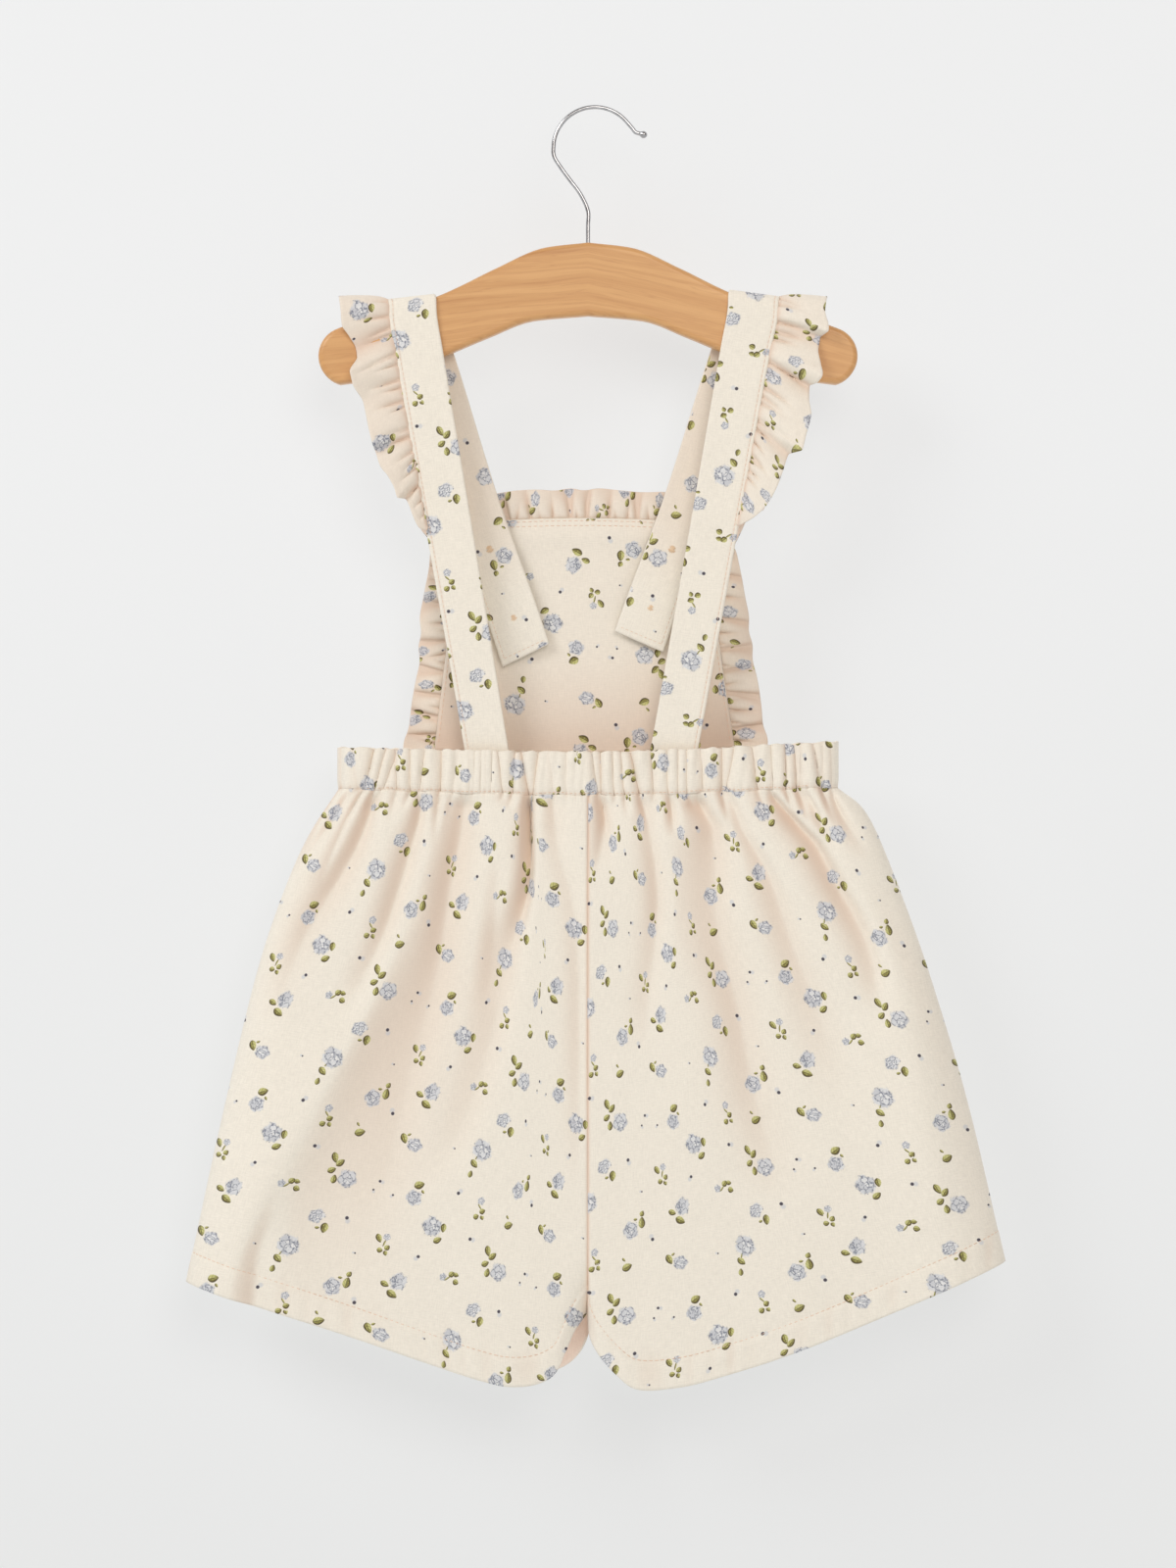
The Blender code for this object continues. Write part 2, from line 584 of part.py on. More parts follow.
def make_hook(finish):
    path = hook_path()
    radii = [1.0] * len(path)
    (ax, az), (bx, bz) = path[-2:]
    length = math.hypot(bx - ax, bz - az)
    step = ((bx - ax) / length, (bz - az) / length)
    for angle in np.radians((-35, 0, 35, 65, 88)):
        along = TIP_BALL_RADIUS * (1 + math.sin(angle))
        path.append((bx + step[0] * along, bz + step[1] * along))
        radii.append(TIP_BALL_RADIUS * math.cos(angle) / WIRE_RADIUS)
    wire = bpy.data.curves.new("hanger_hook", "CURVE")
    wire.dimensions = "3D"
    wire.bevel_depth = WIRE_RADIUS * MM
    wire.bevel_resolution = 2
    wire.use_fill_caps = True
    line = wire.splines.new("POLY")
    line.points.add(len(path) - 1)
    for point, (x, z), radius in zip(line.points, path, radii):
        point.co = (x * MM, 0, z * MM, 1)
        point.radius = radius
    return object_of(wire, "hanger_hook", finish)


def make_button(name, side, place, back_of_disc, shank_end, finish):
    """A round four-hole-size button lying flat on the bib, with its shank of thread."""
    profile = [(0.0, 0.0), (BUTTON_RADIUS - 0.5, 0.0), (BUTTON_RADIUS, 0.5)]
    profile += [(BUTTON_RADIUS, BUTTON_THICK - 0.6), (BUTTON_RADIUS - 0.9, BUTTON_THICK)]
    profile += [(BUTTON_RADIUS - 2.2, BUTTON_THICK - 0.5), (SHANK_RADIUS, BUTTON_THICK - 0.5)]
    if shank_end > 0:
        profile = [(0.0, -shank_end), (SHANK_RADIUS, -shank_end), (SHANK_RADIUS, 0.0), *profile[1:]]
    profile += [(0.0, BUTTON_THICK - 0.5)]
    shape = bmesh.new()
    points = [shape.verts.new((x * MM, 0, z * MM)) for x, z in profile]
    for a, b in zip(points, points[1:]):
        shape.edges.new((a, b))
    bmesh.ops.spin(
        shape,
        geom=shape.verts[:] + shape.edges[:],
        axis=(0, 0, 1),
        cent=(0, 0, 0),
        angle=2 * math.pi,
        steps=20,
        use_merge=True,
    )
    bmesh.ops.remove_doubles(shape, verts=shape.verts, dist=1e-6)
    bmesh.ops.recalc_face_normals(shape, faces=shape.faces)
    mesh = bpy.data.meshes.new(name)
    shape.to_mesh(mesh)
    shape.free()
    made = object_of(mesh, name, finish)
    out, up = place
    made.location = (side * out * MM, back_of_disc * MM, up * MM)
    made.rotation_euler = (-math.pi / 2, 0, 0)
    mesh.shade_smooth()
    mesh.set_sharp_from_angle(angle=math.radians(35))
    return made


def cut_buttonhole(bib, side, cutters):
    out, up = BUTTONS[side][0]
    length, height = BUTTONHOLE
    bpy.ops.mesh.primitive_cube_add(size=1.0, location=(side * out * MM, BIB_TOP_DEPTH * MM, up * MM))
    cutter = bpy.context.object
    cutter.name = f"buttonhole_{SIDE_NAMES[side]}"
    cutter.scale = (length * MM, 8 * MM, height * MM)
    cutter.hide_render = True
    cutter.display_type = "WIRE"
    for collection in list(cutter.users_collection):
        collection.objects.unlink(cutter)
    cutters.objects.link(cutter)
    hole = bib.modifiers.new(f"Buttonhole {SIDE_NAMES[side]}", "BOOLEAN")
    hole.operation = "DIFFERENCE"
    hole.object = cutter


def clear_scene():
    for old in list(bpy.data.objects):
        bpy.data.objects.remove(old, do_unlink=True)
    part = bpy.data.collections.new(PART_NAME)
    cutters = bpy.data.collections.new("cutters")
    bpy.context.scene.collection.children.link(part)
    bpy.context.scene.collection.children.link(cutters)
    origin = bpy.data.objects.new(PART_NAME + "_origin", None)
    part.objects.link(origin)
    return cutters


def main():
    cutters = clear_scene()
    cotton = material("printed_cotton", (0.93, 0.85, 0.74), 0.9)
    wood = material("hanger_beech", (0.67, 0.36, 0.13), 0.45)
    chrome = material("hook_chrome", (0.62, 0.63, 0.65), 0.18, 1.0)
    button = material("button_shell", (0.9, 0.85, 0.78), 0.3)

    for face in (BACK, FRONT):
        make_waistband(face, cotton)
        for side in (LEFT, RIGHT):
            make_leg_panel(side, face, cotton)
    bib = make_bib(cotton)
    make_top_ruffle(cotton)
    for side in (LEFT, RIGHT):
        make_side_ruffle(side, cotton)
        make_strap(side, cotton)
        make_strap_ruffle(side, cotton)
        cut_buttonhole(bib, side, cutters)
        fastened, spare = BUTTONS[side]
        disc = BIB_TOP_DEPTH + BIB_WALL / 2 + SEAM_GAP
        make_button(f"button_fastened_{SIDE_NAMES[side]}", side, fastened, disc, disc - 8.9, button)
        make_button(f"button_spare_{SIDE_NAMES[side]}", side, spare, 9.0, 0.0, button)
    make_wood(wood, cutters)
    make_hook(chrome)


main()
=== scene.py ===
"""The looks of a toddler's ruffled short jumpsuit on its hanger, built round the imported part.

The cloth pieces are thin shells on the same forms as their solids, with the gathers, tucks,
seams, hems and stitching that the solids leave out. Tables and sizes are in millimetres, in
the part's frame: +Z up, the garment's back towards -Y, the origin inside the hook's top.
"out" is the distance from the plane X = 0 to either side, and "up" is Z.
"""

import math

import bmesh
import bpy
import numpy as np
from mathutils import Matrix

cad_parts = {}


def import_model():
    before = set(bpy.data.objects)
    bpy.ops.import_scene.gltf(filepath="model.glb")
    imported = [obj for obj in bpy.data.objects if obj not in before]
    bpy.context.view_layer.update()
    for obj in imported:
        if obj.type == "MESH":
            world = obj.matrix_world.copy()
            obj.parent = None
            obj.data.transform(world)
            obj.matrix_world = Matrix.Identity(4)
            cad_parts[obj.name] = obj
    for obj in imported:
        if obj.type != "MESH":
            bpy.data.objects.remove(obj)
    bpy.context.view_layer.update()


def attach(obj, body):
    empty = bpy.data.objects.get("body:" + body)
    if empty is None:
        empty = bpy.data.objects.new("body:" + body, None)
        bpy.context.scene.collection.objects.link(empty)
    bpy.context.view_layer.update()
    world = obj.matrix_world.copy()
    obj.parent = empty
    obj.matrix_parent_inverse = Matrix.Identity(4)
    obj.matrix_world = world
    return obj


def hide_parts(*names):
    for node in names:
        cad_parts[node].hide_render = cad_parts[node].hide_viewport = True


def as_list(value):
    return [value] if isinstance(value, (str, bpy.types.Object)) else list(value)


MM = 0.001
LEFT, RIGHT = -1, 1
BACK, FRONT = -1, 1
SIDE_NAMES = {LEFT: "left", RIGHT: "right"}
FACE_NAMES = {BACK: "back", FRONT: "front"}

# Walls of the cloth as it shows
LEG_WALL = 0.9
BAND_WALL = 2.2
STRAP_WALL = 1.3
BIB_WALL = 1.4
RUFFLE_WALL = 0.7
SEAM_GAP = 0.3
BAND_SEAM_GAP = 0.08
# How far a shell's rim swells out, as a share of its wall
RIM_SWELL = 0.35

# The waistband: (out, up of the top edge, up of the bottom edge), from left to right
WAIST_HALF = 129.0
WAIST_DEPTH = 11.0
BAND_EDGES = (
    (-WAIST_HALF, -331.4, -352.6), (0.0, -333.6, -355.8), (WAIST_HALF, -328.3, -351.8),
)

# The side seams, from the waistband to the hem: (out, up)
SIDE_SEAMS = {
    LEFT: (
        (129.4, -352.9), (146, -379), (160, -412), (173, -453), (191, -529), (208, -608),
    ),
    RIGHT: (
        (129.4, -352.1), (146, -368), (165, -414), (180, -458), (197.5, -518), (216, -597.4),
    ),
}
# The hems, from the inseam to the side seam: (out, up). The left leg's back hem sweeps up.
INSEAM_END = (0.15, -623.0)
LEFT_HEM_END = ((36, -661), (60, -656.5), (128, -633.5), (208, -608))
RIGHT_HEM_END = ((25, -662.3), (42, -662), (65, -657), (118, -639.3), (216, -597.4))
HEMS = {
    (LEFT, BACK): (INSEAM_END, (7.5, -633), (12, -643.5), (19, -656.2), *LEFT_HEM_END),
    (LEFT, FRONT): (INSEAM_END, (0.3, -636), (5.2, -647.6), (15.5, -655.2), *LEFT_HEM_END),
    (RIGHT, BACK): (INSEAM_END, (1.5, -636), (6.8, -646.3), (15.3, -655.6), *RIGHT_HEM_END),
    (RIGHT, FRONT): (INSEAM_END, (1.5, -636), (6.8, -646.3), (15.3, -655.6), *RIGHT_HEM_END),
}
# Where the walls close round the crotch: from this share down, and over this share of the width
CROTCH_START = 0.85
CROTCH_WIDTH = 0.22
# Extra columns, out from the middle, that draw the roll of the centre seam
SEAM_COLUMNS = (0.4, 0.9, 1.5)
# How far the wall stands from the plane Y = 0: (share of the way down, depth)
PANEL_DEPTH = ((0.0, WAIST_DEPTH), (0.05, 12.6), (0.2, 15.0), (0.6, 16.0), (1.0, 15.0))
# Where the wall starts to turn into the side seam, and the power by which its depth falls
SIDE_TURN_START = 0.86
SIDE_TURN_FALL = 0.85
HEM_HEIGHT = 15.0
# Length of a panel's quads, finer on the face in the photo
LEG_STEP = {BACK: 1.35, FRONT: 2.2}

# Folds drawn in by the elastic: (x at the band's top, x at its foot, x where the fold ends,
# length below the band, depth, half width left of the fold, half width right of it)
BACK_FOLDS = (
    (-126.8, -126.8, -150, 40, 1.8, 1.6, 0.7), (-121, -119, -134, 18, 1, 1.6, 1.6),
    (-110, -115.6, -142, 56, 3, 2, 0.8), (-104.2, -110.4, -116, 14, 2.2, 1.4, 0.8),
    (-98, -106, -112, 16, 1.9, 2.2, 1.4), (-99.8, -98.6, -103, 20, 2, 1.6, 1.2),
    (-91.7, -91.7, -96, 12, 2.2, 1.5, 0.7), (-84, -87, -90, 14, 1.7, 2.2, 1.4),
    (-75.3, -76, -80, 30, 2.9, 2.2, 0.8), (-66, -70, -76, 30, 0.9, 2.2, 1.6),
    (-61, -61.5, -62, 2, 0.5, 0.8, 0.6), (-58.2, -58.8, -59, 2, 0.4, 0.7, 0.6),
    (-55.2, -55.6, -56, 3, 0.6, 0.7, 0.6), (-52.4, -52.8, -53, 2, 0.4, 0.7, 0.6),
    (-49.6, -50, -50, 2, 0.5, 0.7, 0.6), (-46.8, -44.2, -45, 6, 1.7, 0.8, 1.3),
    (-37.6, -38.6, -41, 10, 2.6, 1.3, 0.7), (-34.3, -30.5, -28.5, 40, 4.2, 1.9, 1),
    (-25.3, -28, -27, 14, 2.9, 1.5, 0.8), (-19.7, -18, -18, 12, 0.9, 1.6, 1.6),
    (-11, -11, -13, 26, 0.8, 1.8, 1.4), (1.8, 5.1, 6, 12, 1.7, 1.6, 0.8),
    (6.5, 7.2, 13, 44, 2.9, 1.4, 1), (12.4, 13.6, 15, 12, 1.5, 1, 1),
    (16.8, 19, 21, 14, 2.1, 1.1, 0.9), (22, 26.6, 32, 24, 3.6, 1.5, 1.5),
    (32.5, 33.6, 36, 20, 2.1, 1.2, 1.9), (41, 41.4, 43, 6, 1.4, 0.9, 0.8),
    (46.5, 46.8, 49, 6, 1.3, 0.9, 0.8), (51, 51.4, 55, 12, 1.3, 1, 1),
    (58.4, 59.4, 62, 16, 2, 2, 1.8), (69.2, 68.8, 74, 24, 2.9, 1.5, 1.8),
    (75.8, 71.6, 72, 4, 2, 1.5, 0.8), (84.8, 87.6, 94, 20, 2.5, 1.8, 2.1),
    (95, 95.7, 97, 10, 1.4, 1.3, 1), (101.8, 102.2, 108, 20, 2.8, 0.9, 1),
    (106.5, 107.6, 116, 24, 3.1, 1.4, 1.8), (110.7, 110, 114, 14, 1.5, 1.2, 1),
    (116, 120, 128, 22, 2.9, 1, 1.9), (121, 121.4, 124, 4, 1.4, 0.8, 0.9),
    (125.3, 125.8, 132, 18, 1.6, 1.2, 0.7),
)
FRONT_FOLDS = (
    (-118, -120, -136, 62, 2, 2.4, 1.4), (-104, -106, -118, 40, 1.5, 1.8, 1.2),
    (-88, -91, -110, 84, 2.4, 2.4, 1.3), (-73, -74, -80, 34, 1.3, 1.6, 1.3),
    (-58, -60, -76, 96, 2.2, 2.2, 1.3), (-43, -44, -50, 44, 1.5, 1.7, 1.2),
    (-27, -28, -36, 76, 2, 1.9, 1.4), (-13, -13, -15, 30, 1.1, 1.6, 1.6),
    (12, 13, 16, 36, 1.3, 1.6, 1.7), (26, 27, 36, 84, 2.1, 1.4, 1.9),
    (41, 42, 50, 40, 1.4, 1.2, 1.7), (57, 59, 74, 92, 2.3, 1.3, 2.2),
    (72, 74, 81, 38, 1.4, 1.4, 1.6), (89, 91, 108, 78, 2.3, 1.3, 2.3),
    (103, 105, 116, 44, 1.5, 1.2, 1.9), (117, 119, 137, 60, 2.1, 1.4, 2.4),
)
FOLDS = {BACK: BACK_FOLDS, FRONT: FRONT_FOLDS}
# The front band is faced and holds its gathers flatter than the elastic back does
BAND_HOLD = {BACK: 1.0, FRONT: 0.25}
# Creases that run down the legs, and rises where the depth is below 0:
# rows of (x, up, depth, half width left, half width right)
CREASES = {
    (LEFT, BACK): (
        ((-124, -354, 1, 3, 2), (-131, -368, 1.8, 4, 3), (-141, -382, 1, 5, 4),
         (-150, -398, 0, 5, 5)),
        ((-108, -352, 2, 3, 1.6), (-112, -364, 3.4, 5, 3), (-119, -382, 4.2, 7.5, 6),
         (-127, -397, 4.2, 9, 8), (-136, -412, 3.4, 9, 10), (-147, -432, 2.2, 8, 11),
         (-154, -452, 1, 8, 10), (-160, -475, 0, 8, 10)),
        ((-84.5, -354, 2, 2.5, 1.5), (-87, -368, 3.2, 5, 3), (-92.5, -388, 3.4, 7, 5),
         (-98.5, -408, 3.4, 7.5, 5), (-106, -430, 2.8, 7, 5.5), (-115, -450, 2, 8, 7),
         (-124, -470, 1, 9, 9), (-135, -495, 0, 10, 10)),
        ((-63, -352, 2, 4, 4), (-64, -364, 4.2, 8, 7), (-66.5, -382, 4.6, 9, 9),
         (-70.5, -402, 4.8, 10, 10), (-73.5, -422, 5, 11, 11), (-76, -440, 5.2, 14, 12),
         (-80, -458, 5.2, 19, 13), (-86, -478, 5, 24, 14), (-92, -500, 4.6, 30, 15),
         (-98, -525, 4, 34, 15), (-104, -550, 3.2, 38, 16), (-112, -580, 2, 40, 18),
         (-116, -610, 0.8, 40, 20), (-118, -640, 0, 40, 20)),
        ((-46, -385, 0, 5, 5), (-47, -400, 1, 6, 5), (-49, -425, 1.4, 7, 6),
         (-51, -450, 1, 8, 8), (-54, -470, 0, 8, 8)),
        ((-30.5, -352, 2.6, 2, 1), (-29, -370, 5, 4, 0.9), (-28.5, -388, 5.6, 5.5, 1),
         (-29.5, -402, 5.4, 7, 1.4), (-33, -416, 4.8, 9, 2.6), (-38, -431, 4.2, 12, 4),
         (-43, -450, 3.6, 14, 6), (-48, -475, 3.2, 16, 7), (-55, -500, 2.8, 18, 8),
         (-64, -525, 2.2, 18, 9), (-76, -545, 1.2, 18, 12), (-95, -565, 0, 18, 14)),
        ((-18, -352, 1.2, 4, 4), (-17, -368, 1.6, 5, 5), (-14, -388, 1, 6, 6),
         (-8, -408, 1, 6, 5), (-5, -430, 1.2, 6, 4), (-4, -470, 1.4, 6, 3.5),
         (-4, -520, 0.8, 6, 4), (-4, -560, 0, 6, 4)),
        ((-96, -420, 0, 10, 8), (-108, -452, -1.6, 14, 9), (-126, -488, -3.4, 22, 13),
         (-147, -525, -4.6, 28, 18), (-166, -560, -5, 26, 20), (-180, -595, -4.6, 18, 20),
         (-188, -618, -4, 14, 20)),
        ((-158, -550, 0, 9, 9), (-165, -575, 1.6, 9, 9), (-171, -595, 2.6, 8, 9),
         (-173, -618, 2.6, 8, 10)),
    ),
    (RIGHT, BACK): (
        ((7, -354, 1.2, 3, 4), (8, -366, 2.2, 4, 5), (7, -382, 1.6, 4, 5), (4, -398, 0, 4, 5)),
        ((31, -356, 1, 4, 3), (32.5, -375, 1.8, 5, 3.5), (35.5, -395, 2.4, 6, 4),
         (36.5, -412, 2.4, 6, 4), (35.5, -430, 1.8, 7, 4), (33, -450, 1.4, 7, 5),
         (31, -470, 0.8, 7, 6), (30, -490, 0, 7, 7)),
        ((42, -352, 2.5, 2, 1.5), (43.5, -364, 2.6, 3, 2.5), (45, -378, 0, 4, 3)),
        ((54, -352, 3, 6, 3), (59, -362, 4.6, 8, 4), (65, -374, 4.6, 10, 6),
         (66, -390, 4.2, 14, 8), (66, -410, 3.8, 15, 8), (69, -430, 3.6, 14, 9),
         (74, -450, 3.6, 12, 10), (79, -470, 3.4, 11, 10), (83, -492, 3, 11, 11),
         (88, -515, 2.4, 12, 12), (95, -540, 1.6, 12, 14), (100, -565, 0, 12, 14)),
        ((72, -352, 1.6, 3, 2), (76, -362, 2.2, 4, 3), (80, -373, 2.2, 5, 4),
         (88, -386, 2.6, 7, 4), (95, -400, 2.8, 8, 5), (101, -418, 2.8, 9, 6),
         (108, -438, 2.6, 10, 7), (116, -458, 2.2, 12, 9), (124, -480, 1.6, 14, 11),
         (132, -505, 0.8, 16, 14), (138, -530, 0, 16, 16)),
        ((94, -353, 3, 3, 2), (101, -362, 4.4, 6, 2.5), (109, -371, 5, 8, 3),
         (118, -381, 5, 9, 3.5), (124, -392, 4.8, 9, 4), (130, -404, 4.4, 9, 4.5),
         (138, -418, 4.2, 9, 5), (145, -433, 3.8, 9, 5), (149, -448, 3.2, 9, 6),
         (151, -462, 1.8, 9, 7), (152, -480, 0, 9, 8)),
        ((113, -354, 2, 3, 1.5), (117, -362, 2.4, 4, 2), (122, -373, 1.6, 4, 2.5),
         (128, -386, 0, 4, 4)),
        ((127, -357, 2, 3.5, 2), (132, -367, 2.6, 5, 3), (138, -377, 1.4, 6, 4),
         (146, -390, 0, 6, 6)),
        ((140, -400, 0, 12, 8), (150, -430, -1.2, 16, 10), (160, -460, -2.2, 20, 14),
         (170, -500, -3, 26, 18), (178, -545, -3.2, 30, 20), (188, -590, -2.4, 30, 20)),
    ),
    (LEFT, FRONT): (
        ((-112, -352, 1.5, 3, 3), (-120, -370, 2.8, 6, 5), (-134, -400, 2.8, 8, 8),
         (-146, -430, 1.6, 9, 9), (-156, -460, 0, 9, 9)),
        ((-78, -352, 1.8, 3, 3), (-84, -375, 3, 6, 6), (-94, -410, 3.4, 9, 8),
         (-104, -450, 2.6, 12, 10), (-116, -500, 1.4, 16, 14), (-124, -550, 0, 18, 16)),
        ((-44, -352, 1.4, 3, 3), (-47, -380, 2.6, 6, 5), (-54, -420, 2.8, 9, 7),
         (-62, -470, 1.8, 12, 10), (-70, -530, 0, 14, 12)),
        ((-16, -352, 1, 3, 3), (-17, -380, 1.6, 6, 5), (-18, -420, 1.4, 7, 6),
         (-18, -470, 0, 8, 8)),
        ((-130, -470, 0, 14, 12), (-150, -520, -2.6, 24, 18), (-172, -580, -3.2, 24, 20),
         (-184, -615, -2.6, 18, 18)),
    ),
    (RIGHT, FRONT): (
        ((116, -352, 1.4, 3, 3), (126, -374, 2.8, 5, 6), (140, -404, 2.6, 8, 8),
         (152, -436, 1.4, 9, 9), (160, -462, 0, 9, 9)),
        ((82, -352, 1.8, 3, 3), (88, -378, 3.2, 6, 6), (98, -412, 3.2, 8, 9),
         (110, -456, 2.2, 10, 12), (122, -506, 1, 14, 16), (128, -540, 0, 16, 16)),
        ((50, -352, 1.6, 3, 3), (54, -384, 2.8, 5, 6), (60, -424, 2.8, 7, 9),
         (68, -476, 1.8, 10, 12), (76, -536, 0, 12, 14)),
        ((20, -352, 1, 3, 3), (21, -376, 1.8, 5, 6), (24, -412, 1.2, 6, 8), (25, -450, 0, 8, 8)),
        ((128, -460, 0, 12, 14), (152, -520, -2.4, 18, 24), (176, -575, -3, 20, 24),
         (190, -605, -2.4, 18, 20)),
    ),
}
# What the creases' depths are multiplied by, and the depth at which a fold's painted shade is full
CREASE_DEPTH = 1.4
DEEPEST_SHADE = 5.5

# The bib's sides, from its foot to its top seam: (left out, right out, up)
BIB_SIDES = ((79.7, 76.0, -331.5), (74.0, 69.0, -284.0), (66.0, 59.6, -214.3))
BIB_TOP_RISE = 2.6
BIB_TOP_DEPTH = 13.0
# The dip under the top seam: (share of the way up, width, depth)
BIB_TROUGH = (0.93, 0.05, 1.0)
# How much of the cloth's slight uneven lie the bib has
BIB_UNEVEN = 0.7

# Straps, from the end inside the waistband over the wood to the end on the bib:
# (back, out, up, width, lean of the strap's cross line in degrees)
STRAP_BACK = {
    LEFT: (
        (6.6, 51.6, -338, 21.8, 9.6), (6.8, 53.2, -328, 21.8, 9.6), (7.1, 72.5, -214, 23, 9.6),
        (7.2, 87.6, -125, 23.6, 9),
    ),
    RIGHT: (
        (6.6, 43.8, -337, 23.5, 10.1), (6.8, 45.6, -327, 23.5, 10.1), (7.1, 66, -213, 24, 10.1),
        (7.2, 81.8, -124, 25, 9.6),
    ),
}
STRAP_FRONT = {
    LEFT: (
        (-7.3, 83.6, -125, 24.6, 17.5), (-7.5, 59, -205, 25, 17.9), (-8, 39.2, -262, 26, 18.5),
        (-8, 32.4, -282.7, 26.4, 26),
    ),
    RIGHT: (
        (-7.3, 77.4, -125, 25.2, 17.8), (-7.5, 52, -205, 25.6, 18.6), (-8, 32, -260, 26.4, 19),
        (-8, 26.7, -275.6, 27, 23.5),
    ),
}
# The strap's crown over the wood: (out, up of its highest line, width, lean)
STRAP_CROWN = {LEFT: (91.9, -97.6, 24.0, 6.2), RIGHT: (86.7, -95.8, 25.6, 7.3)}
CROWN_HALF = 7.2
CROWN_RISE = 7.6
CROWN_STEPS = 9
# The stitching's distance from the ruffled edge, on a strap of this width, and from the end
STRAP_WIDTH = 24.0
STITCH_INSET = 1.7
STRAP_END_INSET = 3.0

# Strap ruffles behind the garment, from the crown down: (place on the seam, place and distance out
# of the outer edge, height off the strap's plane). Those in front are the same, stretched.
RUFFLE_EDGE = {
    LEFT: (
        (3, 4.2, 25.9, 1.6), (11, 14, 25.7, 1.2), (17, 20.6, 22.8, 0.2), (24, 27.2, 20.7, -0.6),
        (28, 31.6, 20.9, 0.2), (34, 38.8, 25.6, 2.8), (40, 45.1, 25.3, 2.2),
        (50, 55.4, 21.6, 0.6), (62, 67, 21.2, 1.6), (72, 76.9, 20.5, 2.6), (75, 81, 19.8, 0),
        (80, 89, 18.6, 1.8), (84, 94.5, 15.7, 2.4), (90, 101.9, 13.3, 2.4),
        (96, 106.5, 12.7, 2.6), (99, 107.6, 8.9, 0), (104, 110.8, 7.6, 1.2),
        (112, 117.2, 6.4, 1.2), (120, 123.7, 4.3, 0.8), (124, 125.5, 0.8, 0.2),
    ),
    RIGHT: (
        (4, 8, 25.2, 1), (10, 15, 27.2, 2.2), (14.5, 18.5, 27.7, 3), (17.5, 22, 24.5, -0.8),
        (24, 27.9, 24.8, 0.2), (30, 35.2, 27.4, 1.6), (35.5, 41.8, 29.4, 3.2),
        (37.5, 45.5, 27.4, 1.6), (39.5, 47.2, 24.2, -0.8), (46, 54.2, 25, 0.4),
        (54, 63.1, 27.6, 1.6), (61, 72.6, 26.8, 2.4), (67.5, 80.9, 26.2, 3.2),
        (70.5, 84, 19.8, -0.6), (79, 91.8, 18.6, 0.8), (90, 101.6, 16.9, 1.6),
        (102, 112, 13.2, 1.4), (112, 119, 8.2, 0.8), (119, 122.6, 4, 0.4), (124, 125, 0.6, 0.2),
    ),
}
# The tucks along a strap's seam behind: (place, depth, share of the width they reach across)
RUFFLE_TUCKS = {
    LEFT: (
        (6, 1, 0.5), (13.6, 1.4, 0.7), (18.9, 1.4, 0.6), (23.3, 1.6, 0.8), (33.1, 1.7, 0.8),
        (38.4, 1.2, 0.5), (46.4, 1.5, 0.7), (50.8, 1.2, 0.5), (57.9, 1.5, 0.7),
        (60.6, 1.2, 0.4), (72.1, 1.6, 0.9), (76.5, 1.4, 0.6), (83.6, 1.4, 0.7),
        (87.2, 1.2, 0.5), (92.5, 1.4, 0.7), (101.3, 1.4, 0.8), (109.3, 1.2, 0.7),
        (116.4, 1, 0.6),
    ),
    RIGHT: (
        (5, 1, 0.5), (9, 1.2, 0.6), (18, 1.4, 0.9), (23.1, 1.6, 0.6), (27, 1.4, 0.5),
        (38, 1.6, 0.9), (44, 0.9, 0.3), (51.8, 1.5, 0.6), (56.5, 1.2, 0.5), (60.3, 1.3, 0.5),
        (69, 1.6, 0.9), (73.5, 1.3, 0.5), (80, 1.2, 0.4), (86.7, 1.4, 0.6), (89.8, 1.2, 0.4),
        (95.2, 1.3, 0.5), (99, 1.2, 0.5), (108, 1, 0.5), (116, 0.8, 0.5),
    ),
}
RUFFLE_STRETCH = {LEFT: 1.35, RIGHT: 1.34}
# Painted shade laid over the whole of each strap ruffle, heavier on the left one, which hangs in
# shade
RUFFLE_PAINTED_SHADE = {LEFT: 0.34, RIGHT: 0.14}
RUFFLE_PUFF = 2.8
LOBE_RISE = 2.3
TUCK_LEAN = 3.4
# How far a strap's ruffle is sewn in from the strap's edge, and lies below its middle surface
RUFFLE_SEAM_IN = 0.8
RUFFLE_SUNK = 0.5
# How far the bib's ruffles lie on the far side of its middle surface, towards +Y
BIB_RUFFLE_BEHIND = 1.6

# Bib ruffles: (share of the way along the bib's edge, width)
SIDE_RUFFLE = {
    LEFT: ((0.0, 16.3), (0.35, 13.9), (0.65, 15.7), (0.97, 13.0)),
    RIGHT: ((0.0, 17.5), (0.35, 17.0), (0.75, 17.4), (0.97, 13.0)),
}
TOP_RUFFLE = ((0.02, 12.0), (0.15, 14.5), (0.5, 15.2), (0.85, 14.5), (0.98, 12.0))
